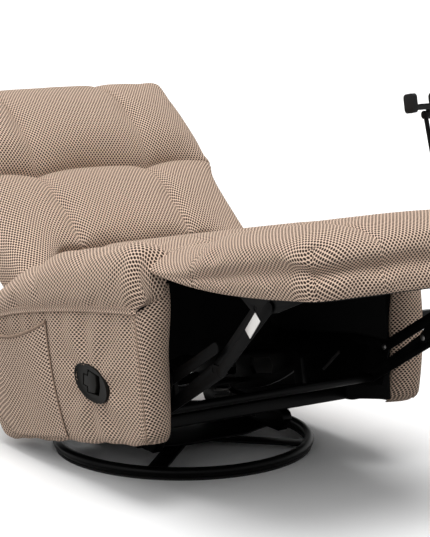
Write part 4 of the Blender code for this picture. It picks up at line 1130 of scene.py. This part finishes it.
def hem_front(z):
    """Front of the outer corner, which draws in at the hem."""
    return panel_front(z, 1.0) + 0.014 * max(0.0, 1 - (z - BODY_BOTTOM) / 0.022) ** 2


def round_corner(x, y, angle):
    """A point of a corner round a centre, and the outward direction there."""
    out = Vector((math.cos(angle), math.sin(angle)))
    return Vector((x, y)) + out * PANEL_CORNER, out


def panel_outline(s, z, with_handle):
    """A point and the outward direction on the cover's path at height z. s runs from 0 to 1."""
    front = hem_front(z)
    lift = max(0.0, 1 - (z - BODY_BOTTOM) / 0.065)
    rear = BODY_REAR - 0.045 * (1 - math.sqrt(max(0.0, 1 - lift ** 2)))
    corner = PANEL_CORNER
    outer = panel_face(front + corner, z)
    rear_outer = panel_face(rear - corner, z)
    bend = corner * math.pi / 2
    nose = outer - corner - PANEL_INNER
    runs = (nose, bend, rear - front - 2 * corner, bend, rear_outer - corner - PANEL_INNER)
    way = s * sum(runs)
    if way <= runs[0]:
        share = way / runs[0]
        ahead = panel_front(z, share) - panel_front(z, 1.0) - 0.004 * math.sin(math.pi * share)
        return Vector((PANEL_INNER + way, front + ahead + 0.008 * (1 - share) ** 8)), Vector((0, -1))
    way -= runs[0]
    if way <= runs[1]:
        return round_corner(outer - corner, front + corner, -math.pi / 2 + way / corner)
    way -= runs[1]
    if way <= runs[2]:
        y = front + corner + way
        return Vector((panel_face(y, z) + folds(y, z, with_handle), y)), Vector((1, 0))
    way -= runs[2]
    if way <= runs[3]:
        return round_corner(rear_outer - corner, rear - corner, way / corner)
    way -= runs[3]
    return Vector((rear_outer - corner - way, rear)), Vector((0, 1))


print("side cover reaches", round(panel_outline(0.5, 0.3, False)[0].x, 3), "m from the middle")

# %% [markdown]
# The strip is thin, so it is a block of one layer along that path. Its lower edge waves a little, and the
# handle's hole is cut out of it.

# %% Side covers
HOLE_OUTER = 0.45       # the cut for the handle, from the middle of the chair
HOLE_INNER = 0.33
HOLE_INSET = 0.004      # so that the cup's rim covers the cut edge


def cover_top(s):
    """Upper edge of the cover: the seam along the side, the crease in front."""
    spot, out = panel_outline(s, 0.30, False)
    seam = body_seam(spot.y) + 0.002
    return seam if out.y > 0 else seam + (crease(spot.x) - seam) * out.y ** 2


def side_cloth(across, along):
    """The side's cloth is stretched lengthwise, but less so round the front."""
    return 0.6 * across + 0.25 * min(0.0, across + 0.36), 1.15 * along


def side_cover(side, word):
    with_handle = word == "right"

    def place(u, v, t):
        s = (u + 1) / 2
        z = BODY_BOTTOM + (cover_top(s) - BODY_BOTTOM) * v
        spot, out = panel_outline(s, z, with_handle)
        spot = spot - out * PANEL_PAD * (1 - t)
        hem = 0.002 * math.sin(13 * u + 1.0) + 0.001 * math.sin(29 * u)
        return side * spot.x, spot.y, z + hem * max(0.0, 1 - v / 0.12)

    along = [0.0, 0.015, 0.04] + [0.07 + 0.875 * k / 34 for k in range(35)] + [0.97, 0.988, 1.0]
    cover, spots = sew("side_cover_" + word, lines_between((-1, 1), 120), along, 0, place, LEVEL)
    lay_cloth(cover, spots, side_cloth)
    if with_handle:
        cut_away(cover, leaf_prism(-HOLE_OUTER, -HOLE_INNER, HOLE_INSET))
    seat_on(cover, "seat_body", "mesh_cloth", "side_panel_" + word)
    return cover


side_covers = [side_cover(side, word) for side, word in SIDES]
print("side covers:", [len(cover.data.polygons) for cover in side_covers], "faces")

# %% [markdown]
# A flat band with two raised edges covers the seam between arm and side. It is a strip of the same cloth,
# folded in at both edges and stitched down, so it is modelled as a thin padded strip on the panel's face.

# %% Seam bands
BAND_HALF = 0.0085
BAND_FRONT = -0.486
BAND_REAR = BODY_REAR - 0.012
BAND_LIFT = 0.0026
BAND_SUNK = 0.004


def seam_band(side, word):
    def place(u, v, t):
        y = BAND_FRONT + (BAND_REAR - BAND_FRONT) * v
        z = body_seam(y) + BAND_HALF * u
        ridge = 0.0026 * notch(abs(u) - 0.72, 0.24)
        lift = BAND_LIFT + ridge - 0.003 * past(abs(u), 0.85)
        ends = 0.010 * max(0.0, 1 - v / 0.02) ** 2
        face = panel_face(y, min(z, PANEL_TOP)) + 0.002 - ends
        return side * (face + (lift + BAND_SUNK) * t - BAND_SUNK), y, z

    across, along = lines_between((-1, 1), 8), lines_between((0, 1), 90)
    band, spots = sew("seam_band_" + word, across, along, 0, place, LEVEL)
    cover_pad(band, spots, "seat_body", [])


for side, word in SIDES:
    seam_band(side, word)
print("seam bands", round(2000 * BAND_HALF), "mm wide")

# %% [markdown]
# Welts and stitches finish the seams. A welt is a cord sewn into a seam, so it is a round tube along a
# path. A stitch is a short thread that dips into the cloth at both ends: a stretched ball does, because
# there are hundreds of them and each is under five millimetres.

# %% Tubes and stitches
STITCH_STEP = 0.0062
STITCH_SHAPE = Matrix.Diagonal((0.0021, 0.0006, 0.0006, 1.0))
STITCH_FACES = 20


def tube(name, points, radius, finish, body, slot):
    """A round tube through points of the frame, as a mesh."""
    curve = bpy.data.curves.new(name, "CURVE")
    curve.dimensions = "3D"
    curve.bevel_depth = radius
    curve.bevel_resolution = 4
    curve.use_fill_caps = True
    spline = curve.splines.new("POLY")
    spline.points.add(len(points) - 1)
    for knot, point in zip(spline.points, points):
        knot.co = (*point, 1.0)
    path = bpy.data.objects.new(name + "_path", curve)
    data = bpy.data.meshes.new_from_object(path)
    bpy.data.objects.remove(path)
    data.materials.clear()
    data.materials.append(finish)
    data.shade_smooth()
    made = bpy.data.objects.new(name, data)
    bpy.context.scene.collection.objects.link(made)
    seat_on(made, body, slot)
    return made


def stitch_row(name, points):
    """A row of thread stitches along points of the frame, on the seat body."""
    mesh = bmesh.new()
    ahead = 0.0
    for start, end in zip(points, points[1:]):
        run = end - start
        turn = run.to_track_quat("X", "Z").to_matrix().to_4x4()
        while ahead < run.length:
            place = Matrix.Translation(start + run * (ahead / run.length))
            stitch = place @ turn @ STITCH_SHAPE
            bmesh.ops.create_icosphere(mesh, subdivisions=1, radius=1.0, matrix=stitch)
            ahead += STITCH_STEP
        ahead -= run.length
    count = len(mesh.faces) // STITCH_FACES
    made = new_piece(name, mesh, thread)
    seat_on(made, "seat_body", "mesh_cloth")
    print(name, count, "stitches")


print("a stitch every", STITCH_STEP * 1000, "mm")

# %% [markdown]
# Each side gets a welt and a row of stitches down its front corner, and two rows along its seam band.

# %% Seams of the sides
WELT_RADIUS = 0.0014
WELT_TURN = -0.62       # where the welt lies on the round corner, in radians
STITCH_TURN = -0.22
CORNER_TOP = 0.362
SEAM_PROUD = 0.0002


def corner_line(side, angle):
    """Points down the front corner of a side panel."""
    points = []
    for k in range(41):
        z = CORNER_TOP - (CORNER_TOP - BODY_BOTTOM - 0.004) * k / 40
        front = hem_front(z) + PANEL_CORNER
        outer = panel_face(front, z) - PANEL_CORNER
        reach = PANEL_CORNER + SEAM_PROUD
        spot = Vector((side * (outer + math.cos(angle) * reach), front + math.sin(angle) * reach, z))
        points.append(LEVEL @ spot)
    return points


def band_line(side, share):
    """Points along a seam band, at a share of its half width."""
    points = []
    for k in range(121):
        y = BAND_FRONT + 0.006 + (BODY_REAR - BAND_FRONT - 0.026) * k / 120
        z = body_seam(y) + BAND_HALF * share
        points.append(LEVEL @ Vector((side * (panel_face(y, min(z, PANEL_TOP)) + 0.0048), y, z)))
    return points


for side, word in SIDES:
    welt = corner_line(side, WELT_TURN)
    tube("corner_welt_" + word, welt, WELT_RADIUS, seam_cloth, "seat_body", "mesh_cloth")
    stitch_row("corner_stitches_" + word, corner_line(side, STITCH_TURN))
    for share, edge in ((-0.42, "low"), (0.42, "top")):
        stitch_row("band_stitches_%s_%s" % (edge, word), band_line(side, share))

# %% [markdown]
# The pocket on the right side is a single sheet, sewn down at its front, its foot and its rear. Its mouth
# is longer than the panel behind it, so it gapes and sags in the middle. The mouth is rolled into a hem.

# %% Side pocket
POCKET_FRONT_TOP = -0.090
POCKET_FRONT_LOW = -0.108
POCKET_REAR = 0.236
POCKET_MOUTH = 0.347
POCKET_SCOOP = 0.030
POCKET_GAPE = 0.018
POCKET_SAG = 0.003
POCKET_THICK = 0.0024
POCKET_HEM = 0.0042


def pocket_spot(u, v, lift):
    """A point of the pocket: u to the rear, v up to the scooped mouth, lift off the panel."""
    front = POCKET_FRONT_TOP + (POCKET_FRONT_LOW - POCKET_FRONT_TOP) * (1 - v) ** 3
    y = front + (POCKET_REAR - front) * u
    mouth = POCKET_MOUTH - POCKET_SCOOP * math.sin(math.pi * u) ** 0.8
    foot = BODY_BOTTOM + 0.010 + 0.055 * past(u, 0.75)
    z = foot + (mouth - foot) * v
    gape = POCKET_GAPE * math.sin(math.pi * u) ** 0.7 * v ** 1.6
    sag = POCKET_SAG * math.sin(3 * math.pi * u) * math.sin(math.pi * v)
    return Vector((-(panel_face(y, z) + 0.0026 + gape + sag + lift), y, z))


def pocket_place(u, v, t):
    return pocket_spot((u + 1) / 2, v, POCKET_THICK * t)


across, along = lines_between((-1, 1), 44), lines_between((0, 1), 34)
pocket, spots = sew("pocket", across, along, 0, pocket_place, LEVEL)
lay_cloth(pocket, spots, side_cloth)
seat_on(pocket, "seat_body", "mesh_cloth", "side_pocket")
mouth_points = [LEVEL @ pocket_spot(k / 60, 1.0, 0.001) for k in range(61)]
mouth_hem = tube("pocket_hem", mouth_points, POCKET_HEM, seam_cloth, "seat_body", "mesh_cloth")
front_points = [LEVEL @ pocket_spot(0.0, k / 40, 0.0012) for k in range(41)]
front_welt = tube("pocket_welt", front_points, WELT_RADIUS, seam_cloth, "seat_body", "mesh_cloth")
stitch_row("pocket_stitches", [LEVEL @ pocket_spot(k / 60, 0.955, 0.0026) for k in range(2, 59)])

# %% [markdown]
# The release handle is a moulded cup with a T-shaped lever. The lever lies flush with the cup's floor and
# turns at the end of its stem. It is a few points of outline, drawn out to a prism with round edges.

# %% Lever shape
STEM_REAR = 0.006       # behind the hinge
STEM_FRONT = 0.012
STEM_HALF = 0.012
BLADE_REAR = 0.014
BLADE_FRONT = 0.044
BLADE_TIP = 0.049
BLADE_HALF = 0.025
BLADE_NOSE = 0.021
lever_hinge = LEVEL.inverted() @ joint_point("release_pull")


def lever_outline(spread, reach):
    """The T seen from the side. spread leaves room round it, and reach lengthens its blade."""
    back = 3 * spread
    half = [(STEM_REAR + back, STEM_HALF + spread), (back - STEM_FRONT, STEM_HALF + spread)]
    half += [(back - BLADE_REAR, BLADE_HALF + spread), (-BLADE_FRONT - reach, BLADE_NOSE + spread)]
    return half + [(-BLADE_TIP - reach, 0.0)] + [(y, -z) for y, z in reversed(half)]


def lever_prism(spread, reach, low_x, high_x):
    mesh = bmesh.new()
    turn = Matrix.Rotation(HANDLE_TILT, 2)
    verts = []
    for y, z in lever_outline(spread, reach):
        spot = turn @ Vector((y, z)) + Vector((lever_hinge.y, lever_hinge.z))
        verts.append(mesh.verts.new((high_x, spot.x, spot.y)))
    mesh.faces.new(verts)
    raised(mesh, (low_x - high_x, 0, 0))
    bmesh.ops.recalc_face_normals(mesh, faces=mesh.faces)
    return mesh


def rounded(mesh, edges, width, segments):
    bmesh.ops.bevel(mesh, geom=edges, offset=width, offset_type="OFFSET", segments=segments, profile=0.5,
                    affect="EDGES", clamp_overlap=True, material=-1)


def round_edges(mesh, width, segments=3, angle=35.0):
    """Rounds every edge that is sharper than an angle."""
    limit = math.radians(angle)
    sharp = [edge for edge in mesh.edges if edge.is_manifold and edge.calc_face_angle(0.0) > limit]
    rounded(mesh, sharp, width, segments)


print("lever", round(1000 * (STEM_REAR + BLADE_TIP)), "by", round(2000 * BLADE_HALF), "mm")

# %% [markdown]
# The cup starts as the leaf outline and gets its rim and floor by an inset. Then a void round the lever is
# cut out. It is longer than the lever, so that two fingers get in behind the blade.

# %% Release handle
CUP_RIM = 0.0055
CUP_RECESS = 0.006
CUP_ROUND = 0.0016
LEVER_GAP = 0.0016
LEVER_ROUND = 0.0018
FINGER_ROOM = 0.017
VOID_DEPTH = 0.030
cup_low, cup_high = box_in("handle_cup", LEVEL)
lever_back = box_in("handle_lever", LEVEL)[1].x
cup_mesh = leaf_prism(cup_low.x, cup_high.x)
outside = [face for face in cup_mesh.faces if face.normal.x < -0.9]
bmesh.ops.inset_region(cup_mesh, faces=outside, thickness=CUP_RIM, use_even_offset=True)
bmesh.ops.translate(cup_mesh, vec=(CUP_RECESS, 0, 0), verts=outside[0].verts)
round_edges(cup_mesh, CUP_ROUND)
bmesh.ops.transform(cup_mesh, matrix=LEVEL, verts=cup_mesh.verts)
cup = new_piece("cup", cup_mesh, handle_plastic, 40.0)
cut_away(cup, lever_prism(LEVER_GAP, FINGER_ROOM, cup_low.x - 0.02, cup_low.x + VOID_DEPTH))
cup.data.set_sharp_from_angle(angle=math.radians(40))
seat_on(cup, "seat_body", "black_plastic", "handle_cup")
lever_mesh = lever_prism(0.0, 0.0, cup_low.x + CUP_RECESS - 0.0008, lever_back)
round_edges(lever_mesh, LEVER_ROUND)
bmesh.ops.transform(lever_mesh, matrix=LEVEL, verts=lever_mesh.verts)
lever = new_piece("lever", lever_mesh, handle_plastic, 40.0)
seat_on(lever, "release_lever", "black_plastic", "handle_lever")
print("handle", [round(value * 1000) for value in (cup_high - cup_low)], "mm")

# %% [markdown]
# Behind, the back has its own cover: a flat padded panel with round corners. It is plain, because it
# usually faces a wall.

# %% Back cover
cover_low, cover_high = box_in("back_cover", BACK)


def back_cover_place(u, v, t):
    corner = 0.045 * past(abs(u), 0.80) ** 2.2
    half = cover_high.x - 0.010 * past(v, 0.7) ** 2
    z = cover_low.z + (cover_high.z - 0.004 - corner * v ** 2 - cover_low.z) * v
    crown = (1 - abs(u) ** 6) * (1 - abs(2 * v - 1) ** 6)
    depth = 0.006 + (cover_high.y - cover_low.y - 0.002) * crown ** 0.5
    return u * half, cover_low.y + depth * t, z


def back_cover_pinned(u, v, t):
    return t < 0.1 or near(u, -1, 1) or near(v, 0, 1)


across, along = lines_between((-1, 1), 36), lines_between((0, 1), 30)
rear_cover, spots = sew("rear_cover", across, along, 2, back_cover_place, BACK)
puff(rear_cover, spots, back_cover_pinned, 0.006, 1.5, 0.0)
cover_pad(rear_cover, spots, "back", ["back_cover"])
print("back cover", round(2 * cover_high.x, 3), "m wide")

# %% [markdown]
# The body box is closed behind by a board under the same cloth. Its inner face takes the near-black
# lining, painted shade for the inside of the body. It needs only a little crown.

# %% Rear panel
panel_low, panel_high = box_in("rear_panel", LEVEL)


def rear_panel_place(u, v, t):
    crown = (1 - abs(u) ** 8) * (1 - abs(2 * v - 1) ** 8)
    y = panel_low.y + (panel_high.y - panel_low.y) * t * (0.75 + 0.25 * crown)
    return u * panel_high.x, y, panel_low.z + (panel_high.z - panel_low.z) * v


across, along = lines_between((-1, 1), 30), lines_between((0, 1), 14)
body_rear, spots = sew("body_rear", across, along, 2, rear_panel_place, LEVEL)
cover_pad(body_rear, spots, "seat_body", ["rear_panel"])
print("rear panel", round(2 * panel_high.x, 3), "m wide")

# %% [markdown]
# Straps carry the seat and the back. Each strap passes over and under those that cross it. A strap is a
# strip of grid, lifted by a wave that turns over at each crossing, and then given its thickness.

# %% Strap webbing
STRAP_THICK = 0.0022
STRAP_WAVE = 0.0019


def strap_net(name, node, drawing, flat, counts, width, body):
    """Interlaced straps in the room of a frame net. flat names the net's two long axes."""
    low, high = box_in(node, drawing)
    a, b = flat
    c = 3 - a - b
    lanes = []
    for axis, count in ((a, counts[0]), (b, counts[1])):
        pitch = (high[axis] - low[axis] - width) / (count - 1)
        lanes.append([low[axis] + width / 2 + pitch * k for k in range(count)])
    mesh = bmesh.new()
    for own, other, lane_axis, run_axis in ((0, 1, a, b), (1, 0, b, a)):
        crossings = len(lanes[other])
        for k, lane in enumerate(lanes[own]):
            grid = bmesh.ops.create_grid(mesh, x_segments=2, y_segments=6 * crossings, size=0.5)
            for vert in grid["verts"]:
                spot = Vector((0.0, 0.0, 0.0))
                along = vert.co.y + 0.5
                wave = math.sin(math.pi * (along * crossings + k + own))
                spot[lane_axis] = lane + vert.co.x * width
                spot[run_axis] = low[run_axis] + (high[run_axis] - low[run_axis]) * along
                spot[c] = (low[c] + high[c]) / 2 + STRAP_WAVE * wave
                vert.co = drawing @ spot
    bmesh.ops.recalc_face_normals(mesh, faces=mesh.faces)
    bmesh.ops.solidify(mesh, geom=mesh.faces[:], thickness=STRAP_THICK)
    straps = new_piece(name, mesh, strap_weave, 50.0)
    seat_on(straps, body, "webbing", node)
    print(name, counts, "straps")


strap_net("seat_straps", "seat_webbing", LEVEL, (0, 1), (6, 5), 0.045, "seat_body")
strap_net("back_straps", "back_webbing", BACK, (0, 2), (4, 4), 0.050, "back")

# %% [markdown]
# A black curtain hangs from the rear rail, so that nobody sees through the chair under the seat: a dark
# sheet that is painted shade for the space under the seat. It is a thin sheet that hangs in shallow folds,
# deeper at its free edge.

# %% Black curtain, painted shade under the seat
CURTAIN_FOLD = 0.006
CURTAIN_HEM = 0.003
CURTAIN_THICK = 0.001
curtain_low, curtain_high = box_in("dust_curtain", LEVEL)


def curtain_place(u, v, t):
    fold = CURTAIN_FOLD * math.sin(19 * u + 2 * math.sin(5 * u)) * v
    hem = CURTAIN_HEM * math.sin(23 * u)
    y = (curtain_low.y + curtain_high.y) / 2 + fold + CURTAIN_THICK * t
    return u * curtain_high.x, y, curtain_high.z + (curtain_low.z + hem - curtain_high.z) * v


across, along = lines_between((-1, 1), 70), lines_between((0, 1), 16)
# Near-black lining: painted shade for the space under the seat.
curtain, spots = sew("curtain", across, along, 0, curtain_place, LEVEL, black_lining_and_shade)
seat_on(curtain, "seat_body", "webbing", "dust_curtain")

# %% [markdown]
# The steel comes from the frame as it is, but a sheared or bent edge is never perfectly sharp. A copy of
# each piece is merged, its flat triangles are dissolved into faces, and its edges are rounded, so that
# each edge catches a line of light. Springs and the cable are only smoothed.

# %% Rounded copies of the rigid pieces
SHEARED = 0.0009        # edge of a link cut from sheet
BENT = 0.0016
MOULDED = 0.002


def softened(node, width, finish, slot, segments=2, corners=0.0):
    """A copy of a rigid frame piece with round edges. corners rounds its short edges along X."""
    mesh = bmesh.new()
    mesh.from_mesh(nodes[node].data)
    bmesh.ops.remove_doubles(mesh, verts=mesh.verts, dist=1e-5)
    bmesh.ops.dissolve_limit(mesh, angle_limit=math.radians(1.0), verts=mesh.verts, edges=mesh.edges)
    if corners:
        short = [edge for edge in mesh.edges if edge.calc_length() < 2 * corners
                 and abs(edge.verts[0].co.x - edge.verts[1].co.x) > corners / 2
                 and edge.calc_face_angle(0.0) > 1.0]
        rounded(mesh, short, corners, 6)
    if width:
        round_edges(mesh, width, segments, 30.0)
    made = new_piece("dressed_" + node, mesh, finish, 38.0)
    seat_on(made, nodes[node]["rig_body"], slot, node)


def dressed():
    """The rounded copies made so far."""
    return [piece for piece in bpy.data.objects if piece.name.startswith("dressed_")]


PIVOTED = ("lower_link", "upper_link", "rear_link", "cross_link")
LINKS = PIVOTED + ("footrest_bracket", "mechanism_plate", "back_bracket")
BARS = ("rocker_bar_front", "rocker_bar_rear", "spring_bar")
RAILS = ("seat_rail_front", "seat_rail_rear", "swivel_plate")
TURNED = ("drive_tube", "bearing_cap", "bearing_race", "base_spokes")
for side, word in SIDES:
    for link in LINKS:
        softened("%s_%s" % (link, word), SHEARED, shade_darkened_link_enamel, "black_steel")
    for rocker in ("rocker_cam_", "rocker_track_"):
        softened(rocker + word, BENT, black_enamel, "black_steel")
    # The side boards take the near-black lining: partly their own colour, partly painted shade for the
    # inside of the body.
    softened("side_board_" + word, 0.002, black_lining_and_shade, "lined_board")
    softened("rocker_spring_" + word, 0.0, dull_zinc, "bare_steel")
for bar in BARS + RAILS:
    softened(bar, 0.0022, black_enamel, "black_steel")
for node in TURNED:
    softened(node, 0.0012, black_enamel, "black_steel")
# The same lining, partly painted shade, on the footrest board and the back frame.
for board in ("footrest_board", "back_frame"):
    softened(board, 0.003, black_lining_and_shade, "lined_board")
print("rounded pieces:", len(dressed()))

# %% [markdown]
# The small mouldings and the device holder are done in the same way. The holder's two jaws are blocks with
# well rounded corners.

# %% Rounded copies of the mouldings and the holder
JAW_CORNER = 0.010
softened("release_cable", 0.0, black_plastic, "black_plastic")
softened("floor_skid", 0.0015, soft_rubber, "rubber")
softened("holder_bracket", 0.0025, black_plastic, "black_plastic", 3)
for rod in ("holder_post", "holder_arm"):
    softened(rod, 0.001, black_enamel, "black_steel")
softened("holder_cradle", MOULDED, black_plastic, "black_plastic", 3, JAW_CORNER)
softened("holder_jaw", MOULDED, soft_rubber, "rubber", 3, JAW_CORNER)
print("rounded pieces:", len(dressed()))

# %% [markdown]
# The floor ring is a bent tube. A circle, spun round the chair's upright axis, gives it smoothly.

# %% Floor ring
low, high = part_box("base_ring")
tube_radius = (high.z - low.z) / 2
ring_radius = (high.x - low.x) / 2 - tube_radius
centre = (low + high) / 2
ring_mesh = bmesh.new()
around = Matrix.Translation(centre + Vector((ring_radius, 0, 0))) @ Matrix.Rotation(math.pi / 2, 4, "X")
bmesh.ops.create_circle(ring_mesh, segments=20, radius=tube_radius, matrix=around)
bmesh.ops.spin(ring_mesh, geom=ring_mesh.verts[:] + ring_mesh.edges[:], cent=centre, axis=(0, 0, 1),
               angle=2 * math.pi, steps=120, use_merge=True)
bmesh.ops.remove_doubles(ring_mesh, verts=ring_mesh.verts, dist=1e-5)
bmesh.ops.recalc_face_normals(ring_mesh, faces=ring_mesh.faces)
ring = new_piece("ring", ring_mesh, black_enamel)
seat_on(ring, "base", "black_steel", "base_ring")
print("ring", round(2 * ring_radius, 3), "m across,", len(ring.data.polygons), "faces")

# %% [markdown]
# The links turn on shouldered rivets. Each has a low dome, turned from a short profile about its pivot's
# axis. It is on the side that faces the middle of the chair, where the links end.

# %% Rivets
RIVET = ((0.0, 0.0030), (0.0035, 0.0028), (0.0062, 0.0018), (0.0074, 0.0), (0.0, 0.0))


def turned_head(mesh, place, direction):
    """Spins the rivet's profile of radius and height about an axis along X."""
    verts = [mesh.verts.new(place + Vector((direction * height, 0, radius))) for radius, height in RIVET]
    edges = [mesh.edges.new(pair) for pair in zip(verts, verts[1:])]
    bmesh.ops.spin(mesh, geom=verts + edges, cent=place, axis=(1, 0, 0), angle=2 * math.pi, steps=20,
                   use_merge=True)


def rivets(link):
    """A rivet head on each of a pair of links, at its own pivot."""
    body = link + "s"
    pivot = next(Vector(joint["pos_m"]) for joint in frame["joints"] if joint["child"] == body)
    mesh = bmesh.new()
    for side, word in SIDES:
        low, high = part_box("%s_%s" % (link, word))
        inner = low.x if side > 0 else high.x
        turned_head(mesh, Vector((inner, pivot.y, pivot.z)), -side)
    bmesh.ops.remove_doubles(mesh, verts=mesh.verts, dist=1e-6)
    bmesh.ops.recalc_face_normals(mesh, faces=mesh.faces)
    made = new_piece("rivets_" + link, mesh, dull_zinc, 40.0)
    seat_on(made, body, "bare_steel")


for link in PIVOTED:
    rivets(link)
print("rivets on", len(PIVOTED), "pairs of links")

# %% [markdown]
# Two bright pieces show in the dark: a plate that stiffens the near cross link, and the end of the return
# spring on the far side's plate. The plate is a thin cube that leans along its link. The spring's end is a
# short rod.

# %% Stiffening plate and spring end
PLATE_LONG = 0.056
PLATE_WIDE = 0.024
PLATE_THICK = 0.002
PLATE_LEAN = math.radians(-38.0)
PLATE_AT = (-0.785, 0.311)
ROD_RADIUS = 0.0035
ROD_ENDS = ((-0.193, 0.148), (-0.265, 0.190))
link_face = box_in("cross_link_right", LEVEL)[0].x
plate_place = LEVEL @ turned(Vector((link_face - PLATE_THICK / 2, *PLATE_AT)), PLATE_LEAN)
plate_shape = Matrix.Diagonal((PLATE_THICK, PLATE_LONG, PLATE_WIDE, 1.0))
plate_mesh = bmesh.new()
bmesh.ops.create_cube(plate_mesh, size=1.0, matrix=plate_place @ plate_shape)
round_edges(plate_mesh, 0.0006)
plate = new_piece("stiffening_plate", plate_mesh, zinc, 40.0)
seat_on(plate, "cross_links", "bare_steel")
rod_x = box_in("mechanism_plate_left", LEVEL)[0].x - ROD_RADIUS
rod_points = [LEVEL @ Vector((rod_x, y, z)) for y, z in ROD_ENDS]
tube("spring_end", rod_points, ROD_RADIUS, dull_zinc, "seat_body", "bare_steel")
print("plate", round(PLATE_LONG * 1000), "by", round(PLATE_WIDE * 1000), "mm")

# %% [markdown]
# A product picture has a white floor and a white room, but a white floor would also throw much light up at
# the chair. So the floor and the room are white only to the eye and in reflections, and darker for the
# light that they scatter.

# %% Floor and room
FLOOR_SEEN = (0.95, 0.95, 0.95, 1.0)
FLOOR_SCATTERS = (0.35, 0.35, 0.35, 1.0)
WHITE = (1.0, 1.0, 1.0, 1.0)
floor_mesh = bmesh.new()
bmesh.ops.create_grid(floor_mesh, x_segments=1, y_segments=1, size=40.0)
floor_finish = Finish("floor", roughness=0.95, specular=0.0)
floor_finish.colour(floor_finish.mix(floor_finish.looked_at(), FLOOR_SCATTERS, FLOOR_SEEN))
floor = new_piece("floor", floor_mesh, floor_finish.material)

world = bpy.data.worlds.new("studio")
bpy.context.scene.world = world
room = Nodes(world)
heading = room.node("ShaderNodeTexCoord").outputs["Generated"]
upward = room.node("ShaderNodeSeparateXYZ", {}, {0: heading}).outputs[2]
rise = {"Value": upward, "From Min": 0.02, "From Max": 0.5, "To Min": 0.06, "To Max": 0.5}
strength = room.node("ShaderNodeMapRange", {"interpolation_type": "SMOOTHSTEP"}, rise).outputs[0]
sky = room.node("ShaderNodeBackground", {}, {"Color": WHITE, "Strength": strength}).outputs[0]
backdrop = room.node("ShaderNodeBackground", {}, {"Color": WHITE, "Strength": 1.0}).outputs[0]
shown = room.node("ShaderNodeMixShader", {}, {0: room.looked_at(), 1: sky, 2: backdrop}).outputs[0]
room.feed(room.tree.nodes["World Output"].inputs["Surface"], shown)
print("floor and room made, world nodes:", len(room.tree.nodes))

# %% [markdown]
# A wide lamp overhead gives the shadow, and a wider one, like a window on the chair's right, brings out
# the holes in the cloth. Both are suns with a large angle, because then the light is even over the chair.

# %% Lamps


def wide_lamp(name, energy, spread, heading):
    """A very wide distant lamp that shines along a heading."""
    lamp = bpy.data.lights.new(name, "SUN")
    lamp.energy = energy
    lamp.angle = math.radians(spread)
    made = bpy.data.objects.new(name, lamp)
    bpy.context.scene.collection.objects.link(made)
    made.rotation_euler = Vector(heading).to_track_quat("-Z", "Y").to_euler()


wide_lamp("overhead", 2.5, 40, (0.05, 0.28, -1.0))
wide_lamp("window", 1.1, 60, (1.0, 0.25, -0.7))
print("lamps:", [lamp.name for lamp in bpy.data.lights])
